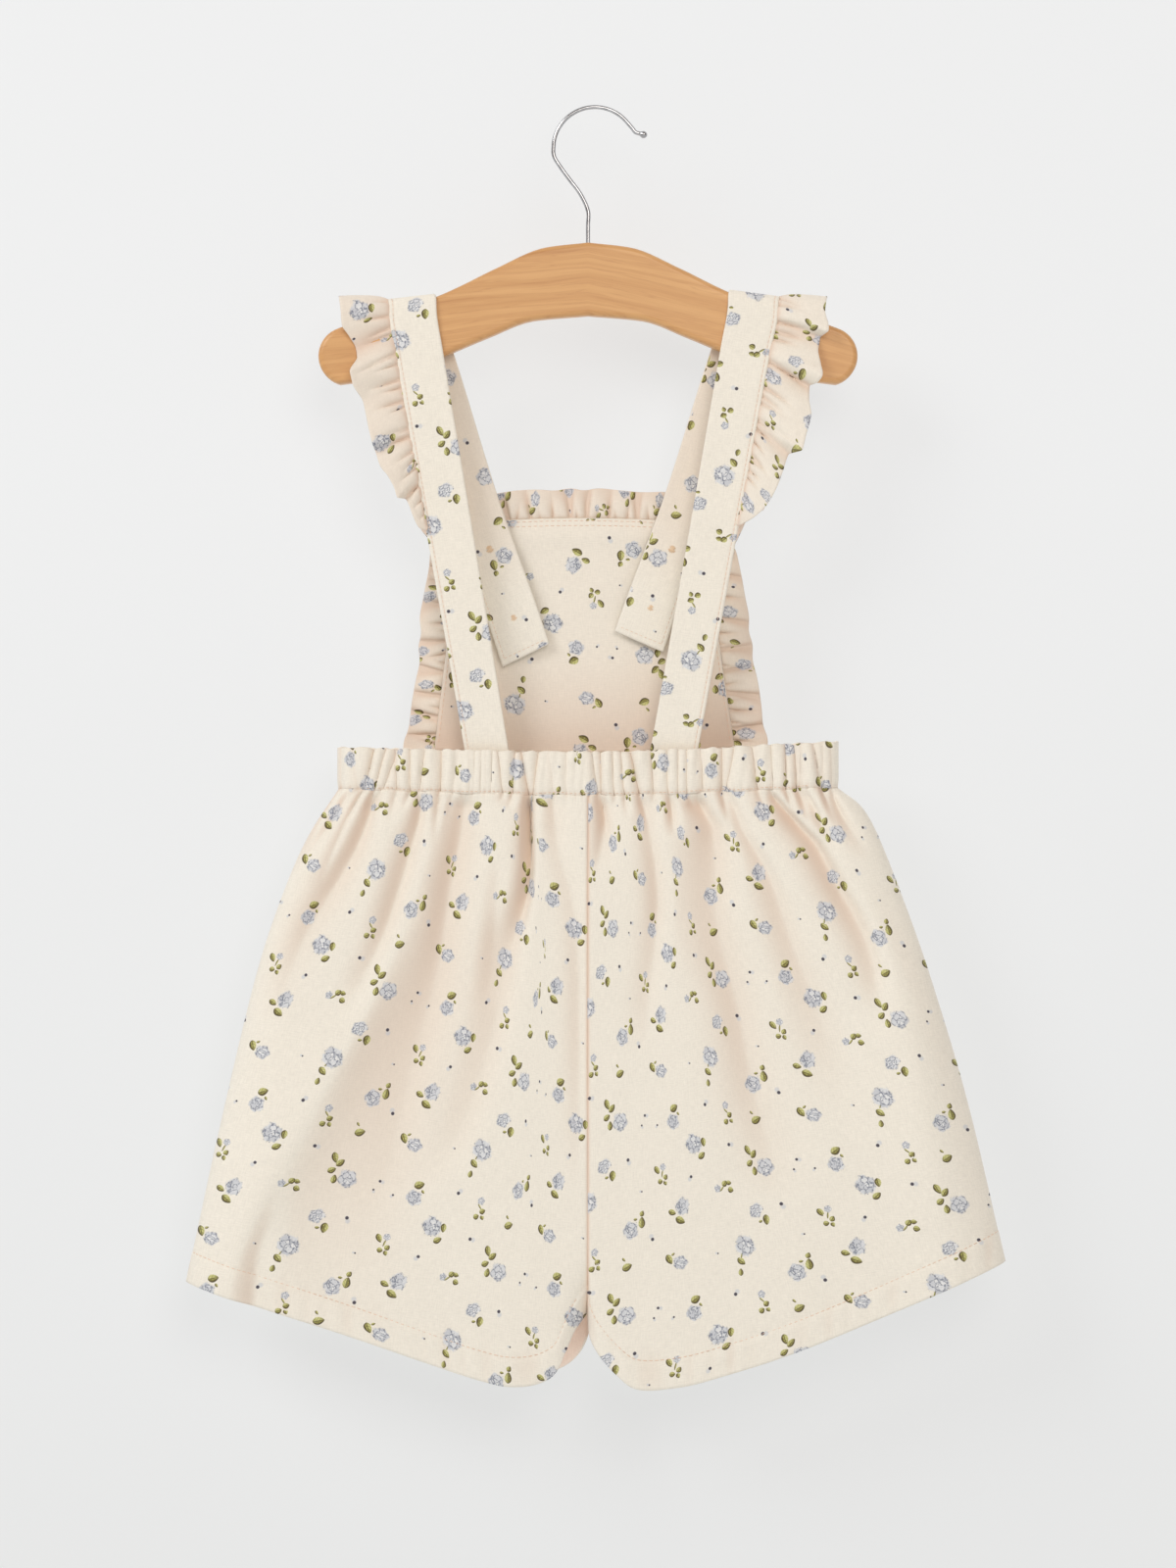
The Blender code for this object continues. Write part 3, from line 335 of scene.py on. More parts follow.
# Their tucks, in millimetres from the left end or the foot: (place, depth, share reached)
TOP_TUCKS = (
    (4, 1, 0.8), (10.5, 1.3, 1.4), (15.5, 0.8, 0.4), (22.6, 1.4, 1.3), (26.5, 0.9, 0.6),
    (34.3, 1.3, 1.1), (39, 0.7, 0.4), (45.5, 1.1, 0.8), (54.7, 1.6, 1.7), (58, 0.8, 0.4),
    (63, 1.6, 1.3), (68.1, 0.8, 0.4), (74.6, 1.2, 1), (78.5, 0.8, 0.4), (84, 1, 0.6),
    (89.5, 1.7, 1.7), (95.3, 0.9, 0.5), (100.5, 1.2, 1.1), (104, 0.8, 0.5), (109.5, 1.2, 1),
    (114.5, 1, 0.6), (119, 1, 0.9),
)
SIDE_TUCKS = {
    LEFT: (
        (3, 1, 0.6), (8.2, 1.3, 1.1), (14.6, 0.9, 0.4), (17, 1.5, 1.7), (21.4, 0.8, 0.4),
        (28.2, 1.4, 1.2), (32.5, 0.9, 0.5), (40.3, 1.8, 1.9), (45, 0.8, 0.4), (50.6, 1.1, 0.7),
        (57, 1.4, 1.5), (61.5, 0.8, 0.4), (66.4, 1.2, 0.7), (75, 1.5, 1.6), (79, 0.8, 0.5),
        (86.5, 1.3, 1), (91, 0.9, 0.5), (99.6, 1.4, 1.4), (104, 0.9, 0.5), (111, 1.1, 0.9),
    ),
    RIGHT: (
        (4, 1, 0.6), (9.5, 1.5, 1.6), (13.5, 0.9, 0.5), (20, 1.2, 0.8), (24, 0.8, 0.4),
        (29.4, 1.7, 1.8), (33, 0.9, 0.5), (40, 1.3, 1.1), (43.6, 0.8, 0.4), (51.5, 1.5, 1.5),
        (55, 0.8, 0.4), (60.5, 1.1, 0.7), (69, 1.4, 1.5), (73, 0.8, 0.4), (80.5, 1.3, 0.9),
        (84, 0.8, 0.4), (92.8, 1.4, 1.4), (97, 0.8, 0.5), (104.5, 1.2, 0.8), (111, 1, 0.9),
    ),
}

# Buttons: (out, up) of the fastened one and of the spare one nearer the strap's end
BUTTONS = {LEFT: ((53.6, -227.5), (41.2, -263.2)), RIGHT: ((46.1, -227.5), (34.1, -258.0))}
BUTTON_RADIUS = 6.5
BUTTON_THICK = 2.2
# How far in front of the plane Y = 0 the back of each disc lies
BUTTON_BACKS = {"fastened": BIB_TOP_DEPTH + BIB_WALL / 2 + SEAM_GAP, "spare": 9.0}

# The hanger's wood: (out, up of the top edge), (out, up of the bottom edge), and its round ends
WOOD_TOP = ((0, -69.2), (22, -71.8), (48.4, -83), (67.2, -92.3), (79.4, -97.6), (118, -109.4))
WOOD_BOTTOM = ((0, -107.1), (28, -109.6), (52, -118.6), (79.4, -129.8), (118, -141.4))
WOOD_END = (124.6, -128.1, 15.2)
WOOD_THICK = 12.0
WOOD_ROUNDING = 3.0

# The hanger's hook
WIRE_RADIUS = 1.1
HOOK_RADIUS = 21.6
HOOK_CENTRE = (3.6, -20.18)
STEM_DEEP = -84.0
STEM_BEND = ((0, -60.0), (0, -52.5), (-3.9, -43.8), (-9.4, -36.4), (-13.8, -30.4))
HOOK_FROM, HOOK_TO = 190.0, 42.0
HOOK_TIP = ((23.0, -9.6), (24.6, -11.6), (27.0, -12.4))
TIP_BALL_RADIUS = 1.9

# The print repeats on a slanting lattice of cloth: one step across and one step down
PRINT_ACROSS = (90.0, 35.4)
PRINT_DOWN = (0.0, 100.5)
# Flowers: (share across, share down, radius, height to width,
#           leaves as (right of it, below it, length, width, turn in degrees))
FLOWERS = (
    (0, 0, 4.7, 1, ((-8.4, -10.1, 5.8, 3.4, 70), (-5.2, -7.7, 5.2, 3.4, -45),
     (-8.7, -3.3, 4.6, 3.3, -30), (-6.7, 1.2, 4.8, 3.2, -85))),
    (0.395, 0.903, 4, 0.97, ((1.6, -7, 5.6, 4.2, -25), (4, -3.8, 2.2, 1.4, 50))),
    (0.526, 0.988, 5.1, 0.98, ((6.4, -0.2, 4.8, 3.3, 90), (4.1, 6.6, 5.2, 3.4, -30))),
    (0.648, 0.195, 2, 1, ((4.7, -2.1, 3.7, 3.2, -40), (7.4, -2.1, 3.2, 2.5, 10),
     (7.8, 1.7, 3.5, 3.2, 20), (2.7, 0.3, 4.2, 1, -40))),
    (0.878, 0.257, 4.2, 0.84, ((5, 5.7, 5.6, 3.9, 95), (1.5, 6.1, 2.4, 1.5, -10))),
    (0.288, 0.165, 1.8, 1, ((-3.9, 1.2, 5, 3, 60), (1, 5.4, 3.2, 2.8, -50),
     (-2.4, 7.3, 3.1, 2.8, 0), (0.6, 8.4, 2.8, 2.2, 70), (-0.8, 3.5, 4, 0.9, 105))),
    (0.764, 0.47, 5.8, 0.93, ((-3.7, 7.7, 5.2, 3.5, 45), (-5, 13.3, 3.9, 2.7, -80),
     (-3.1, 4.9, 3, 0.8, -65))),
    (0.045, 0.55, 4.7, 0.9, ((6.6, -3.2, 6, 3.9, -85), (7, -7.8, 3.2, 2.7, -60),
     (3, -5.3, 2.3, 1.4, 0))),
    (0.394, 0.346, 4.7, 0.86, ((-6.4, 2.3, 4.7, 3.1, 25), (-2.1, 7, 6, 3.9, 30))),
    (0.809, 0.716, 2, 1, ((1.6, 5.3, 3.5, 3.1, -30), (-1.5, 8.5, 3.4, 3.1, -30),
     (2, 8.5, 2.8, 2.3, 60), (-0.3, 3.1, 3.8, 0.9, 50))),
    (0.345, 0.65, 4, 0.9, ((-6.1, -2.5, 5.7, 3.7, 65), (-3.7, -4.9, 2.2, 1.3, -30))),
)
# Leaves that stand alone: (share across, share down, length, width, turn)
LONE_LEAVES = ((0.013, 0.747, 5.8, 4.1, -20), (-0.006, 0.713, 2.5, 1.3, 50))
# Flecks, a dark dot beside a pale blue splash: (share across, share down, size)
FLECKS = (
    (0.79, 0.93, 1), (0.048, 0.194, 1), (0.47, 0.18, 0.9), (0.125, 0.33, 0.5),
    (0.179, 0.557, 1), (0.662, 0.741, 1), (0.195, 0.921, 0.8), (0.16, 0.985, 0.6),
    (0.27, 0.955, 0.6), (0.58, 0.55, 0.5),
)
FLECK_SPAN = 4.6
FLECK_NUMBER = 40
# A stamp's own place is held beside its number, which steps by this much
STAMP_STEP = 10.0
STAMP_REACH = 1.6
# Stamps as far as this outside a piece are kept, since they may reach into it
STAMP_ROOM = 8.0
# The pitch of the twill's lines and of the thread's plies, in metres
WARP_PITCH = 0.00062
WEFT_PITCH = 0.00125
PLY_PITCH = 0.0006

# Warps of a leg, from its centre seam: how far out each cloth line lies at the places up
WARP_UPS = (-355.0, -450.0, -548.0, -630.0)
WARP_LINES = {
    LEFT: (
        (0, (0, 0, 0, 0)), (25, (27, 20, 18.5, 23)), (55.6, (29, 27, 36.5, 51)),
        (98.1, (48.5, 59.5, 74.8, 89)), (145.6, (82.8, 101.5, 123, 141)),
        (188.1, (118, 141.6, 167.4, 188)),
    ),
    RIGHT: (
        (0, (0, 0, 0, 0)), (21, (10, 14, 17.5, 20)), (111, (49, 68.4, 91.1, 110)),
        (201, (122, 153.5, 185.5, 211)),
    ),
}
# The wefts rise outwards, and lie level with the cloth's "down" this far out
WEFT_RISE = 0.162
WEFT_LEVEL = 85.0
# The cloth place (across, down) that lies at the top of each piece's centre line
CLOTH_AT = {
    (LEFT, BACK): (145.6, -459.7), (RIGHT, BACK): (-111.0, -548.7), (LEFT, FRONT): (40.0, -430.0),
    (RIGHT, FRONT): (71.0, -395.0),
}
# The cloth place of a strap's middle line at the crown, and which way up its print lies, on the
# outer side and on the inner side: (across, down, 1 upright or -1 upside down)
STRAP_PRINT = {
    LEFT: ((77.7, 47.1, 1), (10.0, 208.7, -1)),
    RIGHT: ((69.1, 178.4, -1), (5.2, -55.0, 1)),
}
STRAP_EASE = 1.034
# The cut of each piece: (width, length, share of that rectangle, how it is held, what holds it)
CUTS = {
    "back_leg_left": (0.245, 0.310, 0.84, "gathered", ["back_waistband"]),
    "back_leg_right": (0.245, 0.310, 0.84, "gathered", ["back_waistband"]),
    "front_leg_left": (0.245, 0.310, 0.80, "gathered", ["front_waistband"]),
    "front_leg_right": (0.245, 0.310, 0.80, "gathered", ["front_waistband"]),
    "back_waistband": (0.350, 0.024, 1.0, "gathered", ["strap_left", "strap_right"]),
    "front_waistband": (0.290, 0.024, 1.0, "gathered", ["bib"]),
    "bib": (0.155, 0.118, 0.93, "hung", ["strap_left", "strap_right"]),
    "bib_top_ruffle": (0.172, 0.016, 0.95, "gathered", ["bib"]),
    "bib_side_ruffle_left": (0.165, 0.016, 0.95, "gathered", ["bib"]),
    "bib_side_ruffle_right": (0.165, 0.017, 0.95, "gathered", ["bib"]),
    "strap_left": (0.025, 0.430, 1.0, "hung", ["hanger_wood"]),
    "strap_right": (0.026, 0.420, 1.0, "hung", ["hanger_wood"]),
    "strap_ruffle_left": (0.400, 0.025, 0.86, "gathered", ["strap_left"]),
    "strap_ruffle_right": (0.400, 0.028, 0.84, "gathered", ["strap_right"]),
}
# Cloth gathered into each length of its seam, and the cloth place (across, down) it starts from
BAND_FULLNESS = {BACK: 1.45, FRONT: 1.05}
BAND_CLOTH = (33.0, 400.0)
RUFFLE_FULLNESS = 1.55
RUFFLE_CLOTH = (64.0, 5.0)


# Curves and small vectors


def curve_through(rows, value=1, place=0):
    """A smooth function through two columns of the rows that doesn't swing past their values."""
    places, values = np.array(sorted((row[place], row[value]) for row in rows), float).T
    slopes = np.diff(values) / np.diff(places)
    same_way = slopes[:-1] * slopes[1:] > 0
    sums = np.where(same_way, slopes[:-1] + slopes[1:], 1.0)
    inner = np.where(same_way, 2 * slopes[:-1] * slopes[1:] / sums, 0.0)
    turns = np.concatenate([slopes[:1], inner, slopes[-1:]])

    def value_at(at):
        at = np.clip(at, places[0], places[-1])
        i = np.clip(np.searchsorted(places, at) - 1, 0, len(slopes) - 1)
        span = places[i + 1] - places[i]
        t = (at - places[i]) / span
        lift = turns[i] * span * t * (1 - t) ** 2 - turns[i + 1] * span * t**2 * (1 - t)
        return values[i] + (values[i + 1] - values[i]) * t * t * (3 - 2 * t) + lift

    return value_at


def path_through(points):
    """The points at shares of the length of a smooth path through the points."""
    points = np.array(points, float)
    ends = np.vstack([2 * points[0] - points[1], points, 2 * points[-1] - points[-2]])
    t = np.linspace(0, 1, 24, endpoint=False)[:, None]
    fine = [
        (2 * b + (c - a) * t + (2 * a - 5 * b + 4 * c - d) * t**2
         + (3 * b - a - 3 * c + d) * t**3) / 2
        for a, b, c, d in zip(ends, ends[1:], ends[2:], ends[3:])
    ]
    fine = np.vstack([*fine, points[-1:]])
    gone = length_along(fine)
    return lambda shares: at_lengths(np.asarray(shares) * gone[-1], gone, fine)


def length_along(line):
    return np.concatenate([[0], np.cumsum(np.linalg.norm(np.diff(line, axis=0), axis=1))])


def at_lengths(lengths, gone, line):
    return np.stack([np.interp(lengths, gone, axis) for axis in line.T], -1)


def unit(vectors):
    return vectors / np.maximum(np.linalg.norm(vectors, axis=-1, keepdims=True), 1e-9)


def bump_at(distance, width):
    return np.exp(-((distance / width) ** 2))


def smooth_step(value):
    value = np.clip(value, 0.0, 1.0)
    return value * value * (3 - 2 * value)


# Meshes and pieces


def mesh_of(name, points, quads):
    """A mesh of quads from arrays, with its points in millimetres."""
    mesh = bpy.data.meshes.new(name)
    mesh.vertices.add(len(points))
    mesh.vertices.foreach_set("co", (points * MM).astype(np.float32).ravel())
    mesh.loops.add(quads.size)
    mesh.loops.foreach_set("vertex_index", quads.astype(np.int32).ravel())
    mesh.polygons.add(len(quads))
    mesh.polygons.foreach_set("loop_start", np.arange(0, quads.size, 4, dtype=np.int32))
    mesh.update(calc_edges=True)
    mesh.validate()
    mesh.shade_smooth()
    return mesh


def mesh_from(shape, name, sharp_angle):
    """The mesh of a bmesh, which it frees, smooth but for the edges sharper than the angle."""
    bmesh.ops.recalc_face_normals(shape, faces=shape.faces)
    mesh = bpy.data.meshes.new(name)
    shape.to_mesh(mesh)
    shape.free()
    mesh.shade_smooth()
    mesh.set_sharp_from_angle(angle=math.radians(sharp_angle))
    return mesh


def link(data, name, *finishes):
    made = bpy.data.objects.new(name, data)
    for finish in finishes:
        data.materials.append(finish)
    bpy.context.scene.collection.objects.link(made)
    return made


def stand_for(made, node):
    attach(made, "root")
    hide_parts(node)


def clothe(mesh, node, finishes):
    """Puts a cloth mesh in the place of its solid, and looks up the cut it was sewn from, which is
    not used further.
    """
    made = link(mesh, mesh.name, *finishes)
    stand_for(made, node)
    width, length, area_share, held, rests_on = CUTS[node]
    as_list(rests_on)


def border_of(rows, columns):
    """The grid's border as one ring of (row, column)."""
    ring = [(0, j) for j in range(columns)]
    ring += [(i, columns - 1) for i in range(1, rows)]
    ring += [(rows - 1, j) for j in range(columns - 2, -1, -1)]
    ring += [(i, 0) for i in range(rows - 2, 0, -1)]
    return np.array(ring)


def shell(node, grid, wall, outward, cloth, lining=None, swell=RIM_SWELL, shade=0.0, inside=None):
    """A thin closed shell on a grid's surface, with its print's stamps on the side facing outward.

    wall, shade and inside are one number or one for each grid point; shade is the painted shade
    of the side facing outward and inside that of the other side. cloth gives each point's place in
    the flat cloth. The other side carries a print too where lining gives its places.
    """
    shape = grid.shape[:2]
    normals = unit(np.cross(np.gradient(grid, axis=1), np.gradient(grid, axis=0)))
    facing = np.sign(np.sum(normals * outward, axis=-1).mean()) or 1.0
    half = (wall / 2 * np.ones(shape))[..., None]
    i, j = border_of(*shape).T
    away = unit(grid[i, j] - grid[np.clip(i, 1, shape[0] - 2), np.clip(j, 1, shape[1] - 2)])
    rim = grid[i, j] + away * half[i, j] * 2 * swell
    sides = [(grid + normals * facing * half * way).reshape(-1, 3) for way in (1, -1)]
    count, border = sides[0].shape[0], i * shape[1] + j
    index = np.arange(count).reshape(shape)
    face = np.stack([index[:-1, :-1], index[:-1, 1:], index[1:, 1:], index[1:, :-1]], -1)
    face = face.reshape(-1, 4)
    rim_at = 2 * count + np.arange(len(border))
    following, rim_next = np.roll(border, -1), np.roll(rim_at, -1)
    outer_rim = np.stack([following, border, rim_at, rim_next], -1)
    inner_rim = np.stack([rim_next, rim_at, border + count, following + count], -1)
    quads = np.concatenate([face, face[:, ::-1] + count, outer_rim, inner_rim])
    if facing < 0:
        quads = quads[:, ::-1]
    mesh = mesh_of(node + "_cloth", np.concatenate([*sides, rim]), quads)
    flat = cloth.reshape(-1, 2)
    back = flat if lining is None else lining.reshape(-1, 2)
    plain = np.zeros(len(quads), bool)
    plain[len(face) : 2 * len(face)] = lining is None
    lay_print(mesh, np.concatenate([flat, back, flat[border]])[quads], plain)
    mesh.polygons.foreach_set("material_index", plain.astype(np.int32))
    shades = [np.clip(values * np.ones(shape), 0, 1).ravel()
              for values in (shade, shade if inside is None else inside)]
    layer = mesh.attributes.new("fold_shade", "FLOAT", "POINT")
    shades = np.concatenate([*shades, shades[0][border]])
    layer.data.foreach_set("value", shades.astype(np.float32))
    return mesh


# The print: each face takes the nearest flower and leaf stamps, and holds its place in them


def stamp_rows():
    """The repeat's flowers and leaves: rows of (across, down, half length, half width, turn,
    number)."""
    def place(s, t):
        return np.array(PRINT_ACROSS) * s + np.array(PRINT_DOWN) * t

    flowers, leaves = [], []
    for number, (s, t, radius, squash, around) in enumerate(FLOWERS):
        turn = math.radians(37 * number)
        flowers.append((*place(s, t), radius, radius * squash, turn, number))
        for k, (right, below, length, width, turn) in enumerate(around):
            at = place(s, t) + (right, below)
            leaves.append((*at, length / 2, width / 2, math.radians(turn), number + k))
    for k, (s, t, length, width, turn) in enumerate(LONE_LEAVES):
        leaves.append((*place(s, t), length / 2, width / 2, math.radians(turn), 7 + k))
    for k, (s, t, size) in enumerate(FLECKS):
        span = FLECK_SPAN / 2 * size
        leaves.append((*place(s, t), span, span, math.radians(61 * k), FLECK_NUMBER + k))
    return np.array(flowers), np.array(leaves)


def repeated(stamps, low, high):
    """The stamps' repeats that reach into a rectangle of cloth."""
    across, down = np.array(PRINT_ACROSS), np.array(PRINT_DOWN)
    made = []
    for i in range(math.floor(low[0] / across[0]) - 1, math.ceil(high[0] / across[0]) + 2):
        first, last = (low[1] - i * across[1]) / down[1], (high[1] - i * across[1]) / down[1]
        for j in range(math.floor(first) - 1, math.ceil(last) + 2):
            moved = stamps.copy()
            moved[:, :2] += across * i + down * j
            near = (moved[:, :2] > low - STAMP_ROOM) & (moved[:, :2] < high + STAMP_ROOM)
            made.append(moved[near.all(axis=1)])
    return np.concatenate(made)


def places_in_stamps(places, stamps, plain):
    """Each corner's place in its face's nearest stamp, from -1 to 1 across it, with the stamp's
    number. A face that is plain or lies outside its stamp gets a place beyond the stamp's edge."""
    middles = places.mean(axis=1)
    best, found = np.full(len(middles), np.inf), np.zeros(len(middles), int)
    for k, stamp in enumerate(stamps):
        near = np.hypot(*(middles - stamp[:2]).T) - (stamp[2] + stamp[3]) / 2
        closer = near < best
        best[closer], found[closer] = near[closer], k
    stamp = stamps[found][:, None]
    away = places - stamp[..., :2]
    cos, sin = np.cos(stamp[..., 4]), np.sin(stamp[..., 4])
    along = (away[..., 0] * cos + away[..., 1] * sin) / stamp[..., 2]
    aside = (away[..., 1] * cos - away[..., 0] * sin) / stamp[..., 3]
    outside = (np.hypot(along, aside).min(axis=1) > STAMP_REACH) | plain
    along[outside] = aside[outside] = STAMP_REACH
    most = 0.45 * STAMP_STEP
    along, aside = np.clip(along, -most, most), np.clip(aside, -most, most)
    return np.stack([along + STAMP_STEP * stamp[..., 5], aside], -1)


def lay_print(mesh, places, plain):
    """Writes the cloth's own map and the three stamp maps of a mesh."""
    flowers, leaves = stamp_rows()
    low, high = places.min(axis=(0, 1)), places.max(axis=(0, 1))
    maps = {"cloth": places * MM}
    for name, stamps in (("flower", flowers), ("leaf_a", leaves[0::2]), ("leaf_b", leaves[1::2])):
        maps[name] = places_in_stamps(places, repeated(stamps, low, high), plain)
    for name, values in maps.items():
        layer = mesh.uv_layers.new(name=name, do_init=False)
        layer.uv.foreach_set("vector", values.astype(np.float32).ravel())


# Materials


class Value:
    """A node's output, which can be added, multiplied and so on as a number can."""

    def __init__(self, tree, socket):
        self.tree, self.socket = tree, socket

    def math(self, operation, a, b=0.0):
        node = self.tree.nodes.new("ShaderNodeMath")
        node.operation = operation
        feed(self.tree, node.inputs[0], a)
        feed(self.tree, node.inputs[1], b)
        return Value(self.tree, node.outputs[0])

    def __add__(self, other):
        return self.math("ADD", self, other)

    def __sub__(self, other):
        return self.math("SUBTRACT", self, other)

    def __rsub__(self, other):
        return self.math("SUBTRACT", other, self)

    def __mul__(self, other):
        return self.math("MULTIPLY", self, other)

    def __pow__(self, other):
        return self.math("POWER", self, other)

    def __abs__(self):
        return self.math("ABSOLUTE", self)

    def most(self, other):
        return self.math("MAXIMUM", self, other)

    def of(self, operation):
        return self.math(operation, self)

    def clamped(self):
        self.socket.node.use_clamp = True
        return self


def feed(tree, socket, value):
    """Gives a node's input a number, or the output of another node."""
    if isinstance(value, Value):
        tree.links.new(value.socket, socket)
    else:
        socket.default_value = value


class Nodes:
    """A material's node tree, built from calls that take numbers or other nodes' values."""

    def __init__(self, name, roughness, **settings):
        self.material = bpy.data.materials.new(name)
        self.material.use_nodes = True
        self.tree = self.material.node_tree
        self.shader = self.tree.nodes["Principled BSDF"]
        self.shader.inputs["Roughness"].default_value = roughness
        for label, value in settings.items():
            self.shader.inputs[label.replace("_", " ")].default_value = value

    def add(self, kind, inputs=(), out=0, **settings):
        node = self.tree.nodes.new(kind)
        for label, value in settings.items():
            setattr(node, label, value)
        for key, value in dict(inputs).items():
            feed(self.tree, node.inputs[key], value)
        return Value(self.tree, node.outputs[out])

    def mix(self, share, a, b):
        return self.add("ShaderNodeMix", {0: share, 6: a, 7: b}, 2, data_type="RGBA")

    def noise(self, vector, scale, detail=2.0, roughness=0.5, distortion=0.0):
        inputs = {"Vector": vector, "Scale": scale, "Detail": detail, "Roughness": roughness}
        return self.add("ShaderNodeTexNoise", {**inputs, "Distortion": distortion})

    def ramp(self, value, *stops):
        made = self.add("ShaderNodeValToRGB", {0: value})
        elements = made.socket.node.color_ramp.elements
        while len(elements) < len(stops):
            elements.new(0.5)
        for element, (place, colour) in zip(elements, stops):
            element.position, element.color = place, srgb(*colour)
        return made

    def map_of(self, name):
        return self.add("ShaderNodeUVMap", uv_map=name)

    def object_place(self):
        return self.add("ShaderNodeTexCoord", out=3)

    def parts(self, vector):
        x = self.add("ShaderNodeSeparateXYZ", {0: vector})
        return [Value(self.tree, socket) for socket in x.socket.node.outputs]

    def vector(self, x, y, z=0.0):
        return self.add("ShaderNodeCombineXYZ", {0: x, 1: y, 2: z})

    def scaled(self, vector, factors):
        return self.add("ShaderNodeVectorMath", {0: vector, 1: factors}, operation="MULTIPLY")

    def finished(self, colour, *bumps):
        """The material with its colour and bumps: (height, strength, distance in millimetres)."""
        feed(self.tree, self.shader.inputs["Base Color"], colour)
        normal = {}
        for height, strength, distance in bumps:
            inputs = {"Height": height, "Strength": strength, "Distance": distance * MM}
            normal = {"Normal": self.add("ShaderNodeBump", {**inputs, **normal})}
            feed(self.tree, self.shader.inputs["Normal"], normal["Normal"])
        return self.material


def srgb(red, green, blue):
    """A linear colour from the 0 to 255 numbers of a screen colour."""
    shares = np.array([red, green, blue]) / 255
    low, high = shares / 12.92, ((shares + 0.055) / 1.055) ** 2.4
    return (*np.where(shares <= 0.04045, low, high).tolist(), 1.0)


def stamp_parts(n, name):
    """A stamp map's (along, aside, number)."""
    along, aside, _ = n.parts(n.map_of(name))
    number = (along * (1 / STAMP_STEP)).of("ROUND")
    return number * -STAMP_STEP + along, aside, number


def reach_of(x, y):
    return (x * x + y * y).of("SQRT")


def flower(n):
    """The cover and colour of the flower stamps: petals laid in rings round a tight heart."""
    x, y, number = stamp_parts(n, "flower")
    r = reach_of(x, y)
    turn = r.math("ARCTAN2", y, x)
    ragged = n.noise(n.vector(x, y, number), 3.4, 3.0, 0.7)
    edge = (turn * 5.0 + number * 2.1).of("SINE") * 0.07 + (ragged * 0.75 + 0.6)
    cover = ((edge - r) * 5.0 + 0.5).clamped()
    winding = r**0.8 * 2.7 + (number * 7.0 + ragged)
    rings = {"Vector": n.vector(turn.of("COSINE"), turn.of("SINE"), winding), "Scale": 0.85}
    gap = n.add("ShaderNodeTexVoronoi", rings, feature="DISTANCE_TO_EDGE")
    petal_tone = n.parts(n.add("ShaderNodeTexVoronoi", rings, out=1))[0]
    broken = n.noise(n.vector(x, y, number), 5.0, 2.0)
    line = (gap * -8.0 + (broken * 3.8 + -0.85)).clamped()
    shade = petal_tone * 0.4 + (ragged * 0.7 + r * 0.2)
    petal = n.ramp(shade, (0.38, (236, 238, 240)), (0.6, (212, 217, 225)), (0.86, (186, 192, 204)))
    return cover * (line * 0.2 + 0.8), n.mix(line * 0.9, petal, srgb(114, 121, 138))


def leaf(n, name):
    """The cover and colour of the leaf stamps, of which the last numbers are flecks."""
    x, y, number = stamp_parts(n, name)
    across, length = abs(y), x * x
    width = (1.0 - length).clamped() ** 0.75 * (x * -0.22 + 0.98)
    cover = ((width - across) * 6.0 + 0.6).clamped() * (length * -8.0 + 8.2).clamped()
    lit = y * -0.42 + (n.noise(n.vector(x, y, number), 2.6, 2.0) * 1.2 + -0.1)
    green = n.ramp(lit, (0.16, (104, 92, 38)), (0.34, (154, 150, 72)), (0.5, (190, 188, 106)),
                   (0.76, (216, 215, 146)))
    veins = (x * 11.0 + across * -7.0).of("SINE")
    dark = (across * -5.0 + 1.1).clamped().most((veins * 1.2 + -0.6).clamped())
    rim = ((width - across) * -3.4 + 2.0).clamped() * (y * 0.9 + 0.85).clamped()
    green = n.mix(dark.most(rim) * 0.9, green, srgb(66, 52, 16))
    dot = ((0.42 - reach_of(x + 0.4, y + 0.1)) * 7.0 + 0.5).clamped()
    splash = ((0.6 - reach_of(x - 0.35, y)) * 3.0 + 0.3).clamped() * 0.5
    is_fleck = number.math("GREATER_THAN", number, FLECK_NUMBER - 1.0)
    covers = {0: is_fleck, 2: cover, 3: dot.most(splash)}
    fleck = n.mix(dot, srgb(186, 196, 212), srgb(62, 58, 72))
    return n.add("ShaderNodeMix", covers, data_type="FLOAT"), n.mix(is_fleck, green, fleck)


def cotton_surface(n, ground):
    """The colour of the plain cloth, with painted warm shade mixed in, and the bumps of its
    crumple and fine twill.
    """
    place = n.map_of("cloth")
    mottle = n.noise(place, 55.0, 3.0, 0.6)
    slub = n.noise(n.scaled(place, (0.8, 5.0, 1.0)), 330.0, 2.0)
    warps = n.noise(n.scaled(place, (5.0, 0.7, 1.0)), 300.0, 2.0)
    tone = mottle * 0.05 + ((slub + warps) * 0.17 + 0.805)
    toned = n.scaled(n.vector(tone, tone, tone), ground[:3])
    # Painted shade: the fold_shade attribute mixes the ground towards a darker peach where folds,
    # seams and linings would lie in shade
    fold = n.add("ShaderNodeAttribute", out=2, attribute_name="fold_shade")
    toned = n.mix(fold * 0.8, toned, srgb(222, 197, 178))
    x, y, _ = n.parts(place)
    warp = ((x + y) * (2 * math.pi / WARP_PITCH)).of("SINE")
    weft = ((y - x) * (2 * math.pi / WEFT_PITCH)).of("SINE")
    crumple = n.noise(place, 130.0, 3.0, 0.55)
    return toned, ((crumple, 0.25, 0.6), (weft * 0.35 + warp + slub * 2.0, 0.16, 0.05))


def printed_cotton():
    n = Nodes("printed_cotton", 0.86, Sheen_Weight=0.12, Sheen_Roughness=0.5,
              Specular_IOR_Level=0.2)
    colour, bumps = cotton_surface(n, srgb(240, 235, 223))
    for cover, print_colour in (flower(n), leaf(n, "leaf_a"), leaf(n, "leaf_b")):
        colour = n.mix(cover * 0.95, colour, print_colour)
    return n.finished(colour, *bumps)


